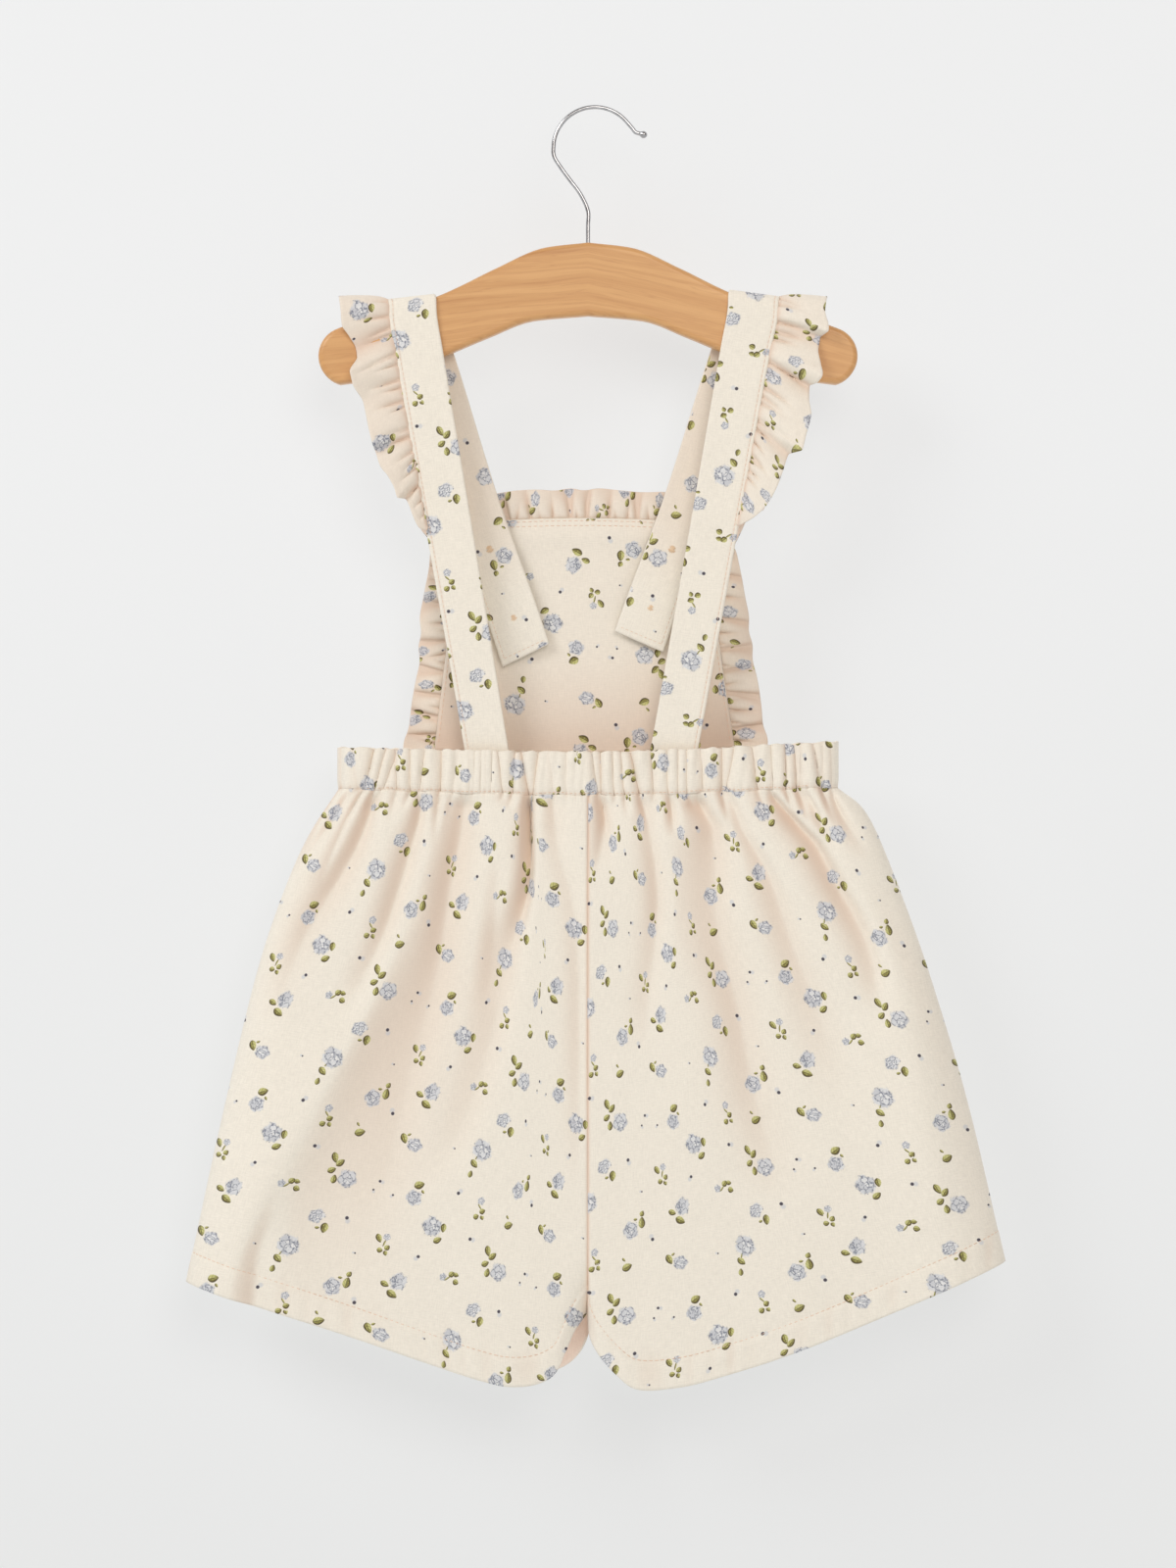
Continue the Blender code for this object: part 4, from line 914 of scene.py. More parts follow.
def plain_cotton():
    """The unprinted wrong side of the cloth, with a little glow for light that comes through."""
    n = Nodes("cotton_wrong_side", 0.9, Sheen_Weight=0.1, Sheen_Roughness=0.5,
              Specular_IOR_Level=0.2, Emission_Color=srgb(238, 222, 208), Emission_Strength=0.09)
    colour, bumps = cotton_surface(n, srgb(239, 223, 210))
    return n.finished(colour, *bumps)


def thread_material(name, dark, light):
    n = Nodes(name, 0.6, Sheen_Weight=0.2, Specular_IOR_Level=0.3)
    x, _, z = n.parts(n.object_place())
    ply = ((x + z) * (2 * math.pi / PLY_PITCH)).of("SINE")
    return n.finished(n.ramp(ply * 0.5 + 0.5, (0.0, dark), (1.0, light)), (ply, 0.5, 0.08))


def wood_material():
    n = Nodes("hanger_beech", 0.42, Coat_Weight=0.25, Coat_Roughness=0.3)
    place = n.object_place()
    swayed = n.noise(n.scaled(place, (6.0, 20.0, 22.0)), 1.0, 3.0)
    x, y, z = n.parts(place)
    rings = swayed * 0.011 + (x * 0.07 + (abs(x) * 0.16 + (z + y * 0.6)))
    bands = n.noise(n.vector(x * 2.2, 0.0, rings * 60.0), 3.2, 4.0, 0.6)
    fibre = n.noise(n.vector(x * 30.0, y * 500.0, rings * 1100.0), 1.0, 3.0, 0.65)
    colour = n.ramp(bands, (0.26, (186, 131, 77)), (0.42, (206, 154, 98)), (0.6, (217, 167, 110)),
                    (0.8, (225, 178, 122)))
    contour = abs((bands * 7.0).of("FRACT") - 0.5)
    colour = n.mix((contour * -9.0 + 1.0).clamped() * 0.24, colour, srgb(170, 108, 60))
    flecks = (fibre * 3.4 + -1.75).clamped()
    return n.finished(n.mix(flecks * 0.26, colour, srgb(176, 118, 68)), (fibre, 0.15, 0.1))


def chrome_material():
    n = Nodes("hook_chrome", 0.14, Metallic=1.0)
    drawn = n.noise(n.scaled(n.object_place(), (260.0, 260.0, 260.0)), 1.0, 2.0)
    return n.finished(n.ramp(drawn, (0.3, (168, 169, 172)), (0.7, (196, 197, 200))),
                      (drawn, 0.08, 0.05))


def button_material():
    n = Nodes("button_shell", 0.28, Coat_Weight=0.4, Coat_Roughness=0.12)
    cloud = n.noise(n.scaled(n.object_place(), (140.0, 140.0, 140.0)), 1.0, 3.0, 0.55, 1.2)
    return n.finished(n.ramp(cloud, (0.3, (226, 212, 192)), (0.55, (240, 230, 214)),
                             (0.8, (248, 243, 234))), (cloud, 0.1, 0.1))


def stage_material(name, colour, glow, scale, one_sided=False):
    """Painted wall or floor, with a glow that fades near the floor.

    Seen from behind, a one-sided wall is clear, so it hides nothing.
    """
    n = Nodes(name, 0.9, Specular_IOR_Level=0.1, Emission_Strength=glow)
    place = n.object_place()
    height = n.parts(place)[2]
    lit = n.ramp(height * 1.6 + 1.3, (0.0, (231, 231, 230)), (1.0, (240, 240, 240)))
    feed(n.tree, n.shader.inputs["Emission Color"], lit)
    if one_sided:
        front, behind = n.shader.outputs[0], n.add("ShaderNodeNewGeometry", out=6)
        clear = n.add("ShaderNodeBsdfTransparent")
        both = n.add("ShaderNodeMixShader", {0: behind, 1: Value(n.tree, front), 2: clear})
        feed(n.tree, n.tree.nodes["Material Output"].inputs[0], both)
    darker = [part - 1 for part in colour]
    return n.finished(n.ramp(n.noise(place, scale, 2.0), (0.0, darker), (1.0, colour)))


# The legs


def band_edge(x, edge):
    """Up of the waistband's top edge (1) or bottom edge (2) at a distance right of the middle."""
    wavy = 0.35 * np.sin(x / 4.3 + 1.4 * np.sin(x / 17)) * (edge - 1)
    return curve_through(BAND_EDGES, edge)(x) + wavy


def band_pucker(x):
    """The small dimples that the stitching of the waistband's foot pulls in."""
    return 0.45 * np.maximum(0.0, np.sin(1.35 * x + 2.4 * np.sin(x / 6.1))) ** 2


def fold_depth(face, x, below, share=None):
    """How far the elastic's folds draw the wall in, below the band or at a share of its height."""
    total = np.zeros(np.broadcast(x, below).shape)
    for top, foot, end, length, depth, left, right in FOLDS[face]:
        if share is None:
            gone = np.clip(below / length, 0, 1)
            middle, fade = foot + (end - foot) * gone**0.85, 1 - smooth_step(gone)
            wider = 1 + 1.6 * gone
        else:
            middle, fade, wider = top + (foot - top) * share, 1.0, 1.0
        away = x - middle
        near = np.abs(away / (np.where(away < 0, left, right) * wider))
        steep, soft = np.exp(-(near**1.3)), np.exp(-((near / 2.2) ** 1.8))
        total += depth * fade * (0.85 * steep + 0.27 * soft)
    return total


def crease_depth(side, face, x, up):
    """How far the creases of a leg draw its wall in, with its rises below 0."""
    total = np.zeros(x.shape)
    for rows in CREASES[side, face]:
        middle, depth, left, right = (curve_through(rows, k, 1)(up) for k in (0, 2, 3, 4))
        away = x - middle
        total += depth * np.exp(-(np.abs(away / np.where(away < 0, left, right)) ** 1.7))
    return total


def drift(x, up, seed):
    """The slight uneven lie of cloth, under half a millimetre."""
    total = 0.22 * np.sin(x / 9.5 + 0.35 * np.sin(up / 21.0 + seed) + seed)
    total += 0.18 * np.sin(x / 17.0 - up / 31.0 + 2.3 * seed)
    return total + 0.12 * np.sin(up / 13.0 + x / 45.0 + 1.7 * seed)


def hem_ripple(out, height):
    """The soft ripples that the hem's stitches pull in, from -1 to 1."""
    wave = 0.6 * np.sin(out / 2.3 + 2.6 * np.sin(out / 11))
    wave += 0.4 * np.sin(out / 4.7 + 1.9 * np.sin(out / 17 + 1))
    return wave * bump_at(height - 0.6 * HEM_HEIGHT, 0.6 * HEM_HEIGHT)


class Leg:
    """A leg panel's form: its plan from its four edges, and how far its wall stands out."""

    def __init__(self, side, face):
        self.side, self.face = side, face
        top_start = float(band_edge(0.0, 2)) - BAND_SEAM_GAP
        self.centre = path_through([(INSEAM_END[0], top_start), INSEAM_END])
        self.seam = path_through(SIDE_SEAMS[side])
        self.hem = path_through(HEMS[side, face])
        self.depth_at = curve_through(PANEL_DEPTH)

    def top(self, u):
        out = WAIST_HALF * u
        up = band_edge(self.side * out, 2) - BAND_SEAM_GAP
        return np.stack([np.maximum(out, INSEAM_END[0]), up], -1)

    def plan(self, u, v):
        """The place (out, up) at shares of the width and of the way down."""
        a, b = u[..., None], v[..., None]
        corners = (1 - a) * (1 - b) * self.centre(0) + a * (1 - b) * self.seam(0)
        corners = corners + (1 - a) * b * self.centre(1) + a * b * self.seam(1)
        sides = (1 - a) * self.centre(v) + a * self.seam(v)
        return sides + (1 - b) * self.top(u) + b * self.hem(u) - corners

    def height(self, u):
        """From the hem up to the waistband, at a share of the width."""
        return self.top(u)[..., 1] - self.hem(u)[..., 1]

    def below_band(self, u, up):
        return np.maximum(self.top(u)[..., 1] - up, 0.0)

    def points(self, u, turn, v, turned_in=0.0):
        """Points of the mid surface. turn is the share of the depth, 1 away from the side seam."""
        out, up = np.moveaxis(self.plan(u, v), -1, 0)
        x, below, height = self.side * out, self.below_band(u, up), (1 - v) * self.height(u)
        closing = np.clip((v - CROTCH_START) / (1 - CROTCH_START), 0.0, 1.0)
        near = np.maximum(0.0, 1 - u / CROTCH_WIDTH)
        inner_turn = np.sqrt(np.maximum(0.0, 1 - (closing * near) ** 2))
        lie = drift(x, up, self.side + 2 * self.face) * np.clip(below / 30, 0.2, 1)
        pucker = 1 + 0.5 * np.sin(out / 1.15 + 2 * np.sin(out / 7))
        hem_line = 0.22 * pucker * bump_at(height - HEM_HEIGHT, 1.1)
        hem_fold = 0.3 * smooth_step((HEM_HEIGHT - height) / 1.5)
        drawn_in = self.drawn_in(x, up, below) + lie + hem_line - hem_fold
        drawn_in += 0.4 * hem_ripple(out, height)
        drawn_in += 0.6 * bump_at(out, 0.9) + (band_pucker(x) - 0.45) * bump_at(below, 2.6)
        standing = (self.depth_at(v) - drawn_in) * turn * inner_turn - turned_in
        return np.stack([x, self.face * np.maximum(standing, SEAM_GAP / 2), up], -1)

    def drawn_in(self, x, up, below):
        """How far the folds draw the wall in."""
        gathers = fold_depth(self.face, x, below) * np.clip(0.8 + 0.2 * below / 7, 0, 1)
        creases = CREASE_DEPTH * crease_depth(self.side, self.face, x, up)
        return gathers + creases * smooth_step((below + 3) / 10)

    def cloth(self, points):
        """Each point's place in the flat cloth, whose warps fan out below the gathers."""
        out, up = np.abs(points[..., 0]), points[..., 2]
        warps = WARP_LINES[self.side]
        lines = [np.interp(-up, -np.array(WARP_UPS), outs) for _, outs in warps]
        along = np.zeros(out.shape)
        for k, (near, far) in enumerate(zip(warps, warps[1:])):
            share = (out - lines[k]) / (lines[k + 1] - lines[k])
            here = (share >= 0) & ((share < 1) | (k == len(warps) - 2))
            along = np.where(here, near[0] + share * (far[0] - near[0]), along)
        across, down = CLOTH_AT[self.side, self.face]
        across = across - self.face * self.side * along
        return np.stack([across, down - up + WEFT_RISE * (out - WEFT_LEVEL)], -1)


def fold_shade(depth_at, deepest):
    """How much warm shade is painted on a fold, most on the flank that sinks towards the right."""
    sinking = np.maximum(0.0, depth_at(1.2) - depth_at(-1.2)) / 2.4
    return 0.3 * depth_at(0.0) / deepest + 1.1 * sinking


def side_turn(count):
    """(share of the width, share of the depth) of columns that turn round into the side seam."""
    angle = np.linspace(0, math.pi / 2, count)
    share = SIDE_TURN_START + (1 - SIDE_TURN_START) * np.sin(angle) ** 0.95
    return share, np.cos(angle) ** SIDE_TURN_FALL


def make_leg(side, face, finishes, step):
    leg = Leg(side, face)
    flat = np.linspace(0, SIDE_TURN_START, round(165 / step), endpoint=False)
    flat = np.concatenate([[0.0], np.array(SEAM_COLUMNS) / WAIST_HALF, flat[2:]])
    turning, depths = side_turn(round(48 / step))
    u = np.concatenate([[0.0, 0.0], flat, turning])
    turn = np.concatenate([np.ones(len(flat) + 2), depths])
    top_rows = np.linspace(0, 0.06, round(22 / step), endpoint=False)
    v = np.concatenate([[0.0, 0.0], top_rows, np.linspace(0.06, 1, round(262 / step))])
    turned_u = np.array([2.6, 1.2, *np.zeros(len(u) - 2)])
    turned_v = np.array([1.2, 0.4, *np.zeros(len(v) - 2)])
    all_u, all_v = np.meshgrid(u, v)
    turned_in = np.maximum(turned_u[None], turned_v[:, None])
    grid = leg.points(all_u, np.broadcast_to(turn, all_u.shape), all_v, turned_in)
    x, up = grid[..., 0], grid[..., 2]
    above_hem, below = (1 - all_v) * leg.height(all_u), leg.below_band(all_u, up)
    wall = LEG_WALL * (1 + 0.6 * smooth_step(HEM_HEIGHT - above_hem))
    # Painted shade: warm shade on the folds' sinking flanks, a line along the centre seam, the
    # dimples under the waistband and the hollows of the hem's ripples
    shade = fold_shade(lambda moved: leg.drawn_in(x + moved, up, below), DEEPEST_SHADE)
    shade += 1.2 * bump_at(np.abs(x), 0.9) + 0.5 * band_pucker(x) * bump_at(below, 2.0)
    shade += 0.25 * np.maximum(0.0, hem_ripple(np.abs(x), above_hem))
    node = f"{FACE_NAMES[face]}_leg_{SIDE_NAMES[side]}"
    mesh = shell(node, grid, wall, (0, face, 0), leg.cloth(grid), swell=0.2, shade=shade)
    clothe(mesh, node, finishes)
    return leg


# The waistband


def band_points(face, x, share, turn):
    """Points of the waistband at a distance right of the middle and a share of the way down."""
    drawn_in = fold_depth(face, x, 0.0, share) * BAND_HOLD[face]
    ripple = 0.28 * np.sin(1.2 * x + 2.2 * share + 1.3 * np.sin(x / 9))
    ripple = ripple + 0.22 * np.sin(0.7 * x - 1.4 * share + 2)
    pinch = 0.7 * np.abs(2 * share - 1) ** 6 + band_pucker(x) * bump_at(1 - share, 0.13)
    standing = (WAIST_DEPTH + 0.7 - drawn_in - pinch + ripple * (1 - share**4)) * turn
    up = band_edge(x, 1) * (1 - share) + band_edge(x, 2) * share
    frill = 0.35 * drawn_in + 0.3 * np.sin(x / 1.3 + 2.2 * np.sin(x / 5.3)) - 0.3
    y = face * np.maximum(standing, SEAM_GAP / 2)
    return np.stack([x, y, up - frill * (1 - share) ** 3], -1)


def make_band(face, finishes):
    turning, depths = side_turn(26)
    half = np.linspace(0, SIDE_TURN_START, 190, endpoint=False)
    outs = np.concatenate([half, turning]) * WAIST_HALF
    turn = np.concatenate([np.ones(len(half)), depths])
    x, share = np.meshgrid(np.concatenate([-outs[::-1], outs[1:]]), np.linspace(0, 1, 27))
    turn = np.broadcast_to(np.concatenate([turn[::-1], turn[1:]]), x.shape)
    grid = band_points(face, x, share, turn)
    across, down = BAND_CLOTH
    cloth = np.stack([across - face * x * BAND_FULLNESS[face], down - grid[..., 2]], -1)
    wall = BAND_WALL - 0.9 * bump_at(1 - share, 0.12)
    # Painted shade on the gathers' sinking flanks and along the band's dimpled foot
    shade = 0.8 * fold_shade(lambda moved: fold_depth(face, x + moved / 3, 0.0, share), 2.6)
    shade += (0.25 + band_pucker(x)) * bump_at(1 - share, 0.09)
    node = f"{FACE_NAMES[face]}_waistband"
    clothe(shell(node, grid, wall, (0, face, 0), cloth, swell=0.15, shade=shade), node, finishes)


# The bib


def bib_points(across, share, uneven=0.0):
    """Points of the bib: across from -1, its left edge, to 1, and a share of the way up."""
    foot, top = BIB_SIDES[0][2], BIB_SIDES[-1][2]
    up = foot + (top - foot) * share
    left, right = (curve_through(BIB_SIDES, k, 2)(up) for k in (0, 1))
    x = (right - left) / 2 + across * (right + left) / 2
    foot_rise = band_edge(x, 1) + SEAM_GAP - foot
    up = up + foot_rise * (1 - share) + BIB_TOP_RISE * share * (1 - across * across)
    where, width, depth = BIB_TROUGH
    rise = (BIB_TOP_DEPTH - WAIST_DEPTH) * np.minimum(1.0, share * 2.2)
    standing = WAIST_DEPTH + rise - depth * bump_at(share - where, width)
    return np.stack([x, standing + uneven * drift(x, up, 5), up], -1)


def make_bib(finishes):
    across, share = np.meshgrid(np.linspace(-1, 1, 120), np.linspace(0, 1, 96))
    grid = bib_points(across, share, BIB_UNEVEN)
    x, up = grid[..., 0], grid[..., 2]
    cloth = np.stack([30 - x, -up], -1)
    lining = np.stack([27.9 - x - 0.035 * (up + 235.7), 1.03 * up + 291.5], -1)
    # Painted shade on the bib's lining, heavier low down by the waistband and towards its sides
    inside = 0.12 + 0.5 * smooth_step((0.55 - share) / 0.55)
    inside += 0.22 * smooth_step((np.abs(across + 0.1) - 0.3) / 0.6)
    clothe(shell("bib", grid, BIB_WALL, (0, 1, 0), cloth, lining, inside=inside), "bib", finishes)


# Straps and ruffles


class Strap:
    """A strap's line from the bib over the wood to the waistband, at distances from its crown."""

    def __init__(self, side):
        self.side = side
        out, top, width, lean = STRAP_CROWN[side]
        rows = list(STRAP_BACK[side])
        for angle in np.linspace(0, math.pi, CROWN_STEPS):
            nearer = abs(math.cos(angle))
            back = CROWN_HALF * math.copysign(nearer ** (2 / 3), math.cos(angle))
            up = top - CROWN_RISE * (1 - math.sin(angle) ** (2 / 3))
            rows.append((back, out - 1.2 * nearer, up, width, lean + 2.0 * nearer))
        rows = np.array([*rows, *STRAP_FRONT[side]])
        back, out, up, width, lean = rows.T
        middle = np.stack([side * out, -back, up], -1)
        gone = length_along(middle)
        away = gone[len(STRAP_BACK[side]) + CROWN_STEPS // 2] - gone
        self.first, self.last = away[-1], away[0]
        self.axes = [curve_through(list(zip(away, axis))) for axis in middle.T]
        self.width, self.lean = (curve_through(list(zip(away, row))) for row in (width, lean))

    def middle(self, place):
        return np.stack([axis(place) for axis in self.axes], -1)

    def frame(self, place):
        """The middle, the cross line, the way along and the way out of the cloth."""
        lean = np.radians(self.lean(place))
        across = np.stack([self.side * np.cos(lean), np.zeros_like(lean), -np.sin(lean)], -1)
        ahead = unit(self.middle(place + 0.5) - self.middle(place - 0.5))
        normal = unit(np.cross(across, ahead)) * -self.side
        return self.middle(place), across, ahead, normal

    def points(self, place, share):
        """Points at distances along and at shares of the width from the middle line."""
        middle, across, _, normal = self.frame(place)
        offset = (share * self.width(place))[..., None]
        soft = 0.16 * np.sin(place / 8.5 + share * 2) + 0.12 * np.sin(place / 21 - 3 * share)
        return middle + across * offset + normal * soft[..., None]

    def ruffle_seam(self, place, further=0.0):
        """Points along the ruffle's seam, or further out, with the way out of the cloth."""
        middle, across, _, normal = self.frame(place)
        offset = self.width(place) / 2 - RUFFLE_SEAM_IN + further
        return middle + across * offset[..., None] - normal * RUFFLE_SUNK, normal


def make_strap(side, strap, finishes):
    places = np.linspace(strap.first, strap.last, 330)
    share, place = np.meshgrid(np.linspace(-0.5, 0.5, 28), places)
    width, normal = strap.width(place), strap.frame(place)[3]
    from_seam = (0.5 - np.abs(share)) * width - STITCH_INSET
    wall = STRAP_WALL - 0.4 * bump_at(from_seam, 0.5) * (share > 0)
    wall = wall - 0.4 * bump_at(place - strap.first - STRAP_END_INSET, 0.6)
    aside, along = side * share * width, STRAP_EASE * place
    (across, down, way), (inner_across, inner_down, inner_way) = STRAP_PRINT[side]
    cloth = np.stack([across + way * aside, down + way * along], -1)
    lining = np.stack([inner_across + inner_way * aside, inner_down - inner_way * along], -1)
    # Painted shade: a line beside the stitching of the ruffled edge, and on the lining down the
    # front from the crown, fading before the strap's end on the bib
    shade = 0.3 * bump_at(from_seam, 0.45) * (share > 0)
    inside = 0.36 * smooth_step(-place / 25) * (1 - smooth_step((-place - 115) / 60))
    node = f"strap_{SIDE_NAMES[side]}"
    grid = strap.points(place, share)
    mesh = shell(node, grid, wall, normal, cloth, lining, shade=shade, inside=inside)
    clothe(mesh, node, finishes)


def tucked(place, share, tucks):
    """The height of gathered cloth over its seam: it puffs up between tucks that fade from it."""
    puff = RUFFLE_PUFF * (1 - np.exp(-5.0 * share)) * (1 - 0.45 * share)
    valleys = np.zeros(np.broadcast(place, share).shape)
    for middle, depth, reach in tucks:
        away = place - middle - TUCK_LEAN * math.sin(2.7 * middle) * share
        width = np.where(away < 0, 0.8 + 3.4 * share, 0.55 + 0.8 * share)
        fade = 1 - smooth_step((share - 0.05) / (1.3 * reach))
        valleys += 2.1 * depth**1.8 * fade * np.exp(-(np.abs(away / width) ** 1.3))
    return puff - np.minimum(valleys, puff + 0.5)


def both_ways(rows, stretch, scaled):
    """Rows for the ruffle behind, after the same rows stretched to run the other way in front."""
    return [*((*(-stretch * v for v in row[:scaled]), *row[scaled:]) for row in rows[::-1]), *rows]


def make_strap_ruffle(side, strap, finishes):
    edge = both_ways(RUFFLE_EDGE[side], RUFFLE_STRETCH[side], 2)
    tucks = both_ways(RUFFLE_TUCKS[side], RUFFLE_STRETCH[side], 1)
    edge_place, edge_out, edge_height = (curve_through(edge, k) for k in (1, 2, 3))
    places = np.linspace(edge[0][0], edge[-1][0], 560)
    place, share = np.meshgrid(places, np.linspace(0, 1, 26))
    base, normal = strap.ruffle_seam(place)
    outer, outer_normal = strap.ruffle_seam(edge_place(place), edge_out(place))
    height = tucked(place, share, tucks) + LOBE_RISE * edge_height(place) * share**0.8
    leaning = unit(normal + (outer_normal - normal) * share[..., None])
    grid = base + (outer - base) * share[..., None] + leaning * height[..., None]
    reach = np.linalg.norm(outer - base, axis=-1)
    hem = bump_at(reach * (1 - share) - 3.0, 0.8)
    across, down = RUFFLE_CLOTH
    cloth = np.stack([reach * share * side + across, place * RUFFLE_FULLNESS + down], -1)
    # Painted shade: a base over the whole ruffle, more in the valleys between its puffs, and a
    # line beside the seam where the strap's edge would shade it
    shade = RUFFLE_PAINTED_SHADE[side] + 0.7 * np.clip(1 - height / (RUFFLE_PUFF + 1.0), 0, 1) ** 1.5
    shade += 0.5 * bump_at(reach * share - 1.3, 0.9)
    node = f"strap_ruffle_{SIDE_NAMES[side]}"
    mesh = shell(node, grid, RUFFLE_WALL * (1.15 - 0.35 * hem), normal, cloth, shade=shade)
    clothe(mesh, node, finishes)


def make_bib_ruffle(node, base, outward, outline, length, tucks, cloth_start, finishes):
    """A ruffle along an edge of the bib, whose base and way out are given at each place."""
    first, last = outline[0][0], outline[-1][0]
    places = np.linspace(first, last, round(length / 0.45))
    place, share = np.meshgrid(places, np.linspace(0, 1, 18))
    distance = (place - first) * length
    height = 0.35 * np.sin(distance / 4.3 + 1.2 * np.sin(distance / 11)) * share - 0.8 * share
    height = height + 1.15 * tucked(distance, share, tucks)
    uneven = 0.4 + 0.5 * np.sin(distance / 3.7 + 1.5 * np.sin(distance / 9))
    reach = (curve_through(outline)(place) + uneven) * share
    grid = base(place) + (0, BIB_RUFFLE_BEHIND, 0) + outward(place) * reach[..., None]
    grid[..., 1] -= height
    cloth = np.stack([reach, distance * RUFFLE_FULLNESS], -1) + cloth_start
    # Painted shade: a base over the whole ruffle and more in the valleys between its puffs
    shade = 0.2 + 0.7 * np.clip(1 - height / RUFFLE_PUFF, 0, 1) ** 1.5
    mesh = shell(node, grid, RUFFLE_WALL, (0, 1, 0), cloth, cloth + (40.0, 17.0), shade=shade)
    clothe(mesh, node, finishes)


def make_side_ruffle(side, finishes):
    def base(place, across=0.995):
        return bib_points(np.full(place.shape, side * across), place)

    def outward(place):
        return unit(base(place) - base(place, 0.9)) * np.array([1, 0, 1])

    node, length = f"bib_side_ruffle_{SIDE_NAMES[side]}", BIB_SIDES[-1][2] - BIB_SIDES[0][2]
    make_bib_ruffle(node, base, outward, SIDE_RUFFLE[side], length, SIDE_TUCKS[side],
                    (12.0 + 30 * side, 8.0), finishes)


def make_top_ruffle(finishes):
    def base(place):
        return bib_points(2 * place - 1, np.full(place.shape, 0.998))

    def outward(place):
        return np.zeros(place.shape)[..., None] + (0.0, 0.0, 1.0)

    length = sum(BIB_SIDES[-1][:2])
    make_bib_ruffle("bib_top_ruffle", base, outward, TOP_RUFFLE, length, TOP_TUCKS,
                    (70.0, 40.0), finishes)


# Stitching


def stitch_template(radius, length, sides=6):
    """One stitch lying along X, arched so that its ends go into the cloth."""
    rings = ((-0.5, 0.35, -0.8), (-0.38, 0.9, -0.2), (0.0, 1.0, 0.25), (0.38, 0.9, -0.2),
             (0.5, 0.35, -0.8))
    angles = np.linspace(0, 2 * math.pi, sides, endpoint=False)
    points = [
        (along * length, size * radius * math.cos(a), radius * (lift + size * math.sin(a)))
        for along, size, lift in rings
        for a in angles
    ]
    ring = [(k, (k + 1) % sides, (k + 1) % sides + sides, k + sides) for k in range(sides)]
    quads = [np.array(ring) + r * sides for r in range(len(rings) - 1)]
    caps = np.array([(0, 1, 2, 3), (0, 3, 4, 5)])
    quads += [caps[:, ::-1], caps + (len(rings) - 1) * sides]
    return np.array(points), np.concatenate(quads)


def stitches(name, runs, thread, radius, length, pitch):
    """A mesh of stitches along runs of (points, normals), in millimetres."""
    template, quads = stitch_template(radius, length)
    all_points = []
    for line, normals in runs:
        gone = length_along(line)
        middles = np.arange(pitch / 2, gone[-1] - pitch / 3, pitch)
        before, at, after = (at_lengths(middles + d, gone, line) for d in (-0.4, 0, 0.4))
        along = unit(after - before)
        aside = unit(np.cross(unit(at_lengths(middles, gone, normals)), along))
        axes = np.stack([along, aside, np.cross(along, aside)], axis=1)
        all_points.append((at[:, None] + template @ axes).reshape(-1, 3))
    points = np.concatenate(all_points)
    starts = np.arange(0, len(points), len(template))
    quads = (quads + starts[:, None, None]).reshape(-1, 4)
    made = link(mesh_of(name, points, quads), name, thread)
    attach(made, "root")


def hem_run(leg):
    """The line of a leg's hem stitching on the cloth's outside."""
    turning, depths = side_turn(30)
    u = np.concatenate([np.linspace(0.04, SIDE_TURN_START, 160, endpoint=False), turning[:-2]])
    turn = np.concatenate([np.ones(160), depths[:-2]])
    v = 1 - HEM_HEIGHT / leg.height(u)
    above, line, below = (leg.points(u, turn, v + d) for d in (-0.004, 0.0, 0.004))
    normals = unit(np.cross(np.gradient(line, axis=0), below - above))
    normals = normals * np.sign(np.sum(normals * (0, leg.face, 0), axis=-1).mean())
    return line + normals * LEG_WALL * 0.62, normals


def band_run(face):
    """The stitching that joins a waistband's foot to the legs."""
    x = np.linspace(-WAIST_HALF * 0.985, WAIST_HALF * 0.985, 900)
    past = (np.abs(x) / WAIST_HALF - SIDE_TURN_START) / (1 - SIDE_TURN_START)
    turn = np.cos(math.pi / 2 * np.clip(past, 0, 1)) ** SIDE_TURN_FALL
    points = band_points(face, x, 0.95, turn) + (0.0, face * 0.86, 0.0)
    return points, np.zeros(points.shape) + (0.0, face, 0.0)


def strap_run(strap, place, share, way):
    """A line of stitching on a strap, on its outer side (1) or its inner side (-1)."""
    normals = strap.frame(place)[3] * way
    return strap.points(place, share) + normals * STRAP_WALL * 0.42, normals


def strap_runs(strap):
    """The stitching along the strap's ruffled edge, on both sides, and across its end."""
    along = np.arange(strap.first + 3, strap.last - 4, 1.0)
    edge = np.full(along.shape, 0.5 - STITCH_INSET / STRAP_WIDTH)
    across = np.linspace(-0.44, 0.44, 30)
    end = np.full(across.shape, strap.first + STRAP_END_INSET)
    yield strap_run(strap, along, edge, 1)
    yield strap_run(strap, along, edge, -1)
    yield strap_run(strap, end, across, -1)


def bib_runs():
    """The stitching of the bib's top and sides, on its inner face."""
    across, share = np.linspace(-0.93, 0.93, 120), np.linspace(0.03, 0.985, 120)
    height = BIB_SIDES[-1][2] - BIB_SIDES[0][2]
    lines = [(across, np.full(120, 1 - below / height)) for below in (1.0, 3.4)]
    lines += [(np.full(120, side * 0.982), share) for side in (LEFT, RIGHT)]
    for line in lines:
        points = bib_points(*line, BIB_UNEVEN)
        normals = np.zeros(points.shape) + (0.0, -1.0, 0.0)
        yield points + normals * BIB_WALL * 0.5, normals


def thread_cross(strap, up):
    """The crossed stitches that hold a button, on the strap's inner side."""
    places = np.arange(strap.first, -10, 0.25)
    place = places[np.abs(strap.middle(places)[:, 2] - up).argmin()]
    middle, across, ahead, normal = (part[0] for part in strap.frame(np.array([place])))
    centre = middle - normal * (STRAP_WALL * 0.5 + 0.1)
    for turn in np.radians((-62, -38, -12, 16, 41, 66)):
        arm = (across * math.sin(turn) + ahead * math.cos(turn)) * 2.4
        line = np.array([centre + arm * share for share in (-1, -0.3, 0.3, 1)])
        yield line, np.zeros(line.shape) - normal


# The hanger and the buttons


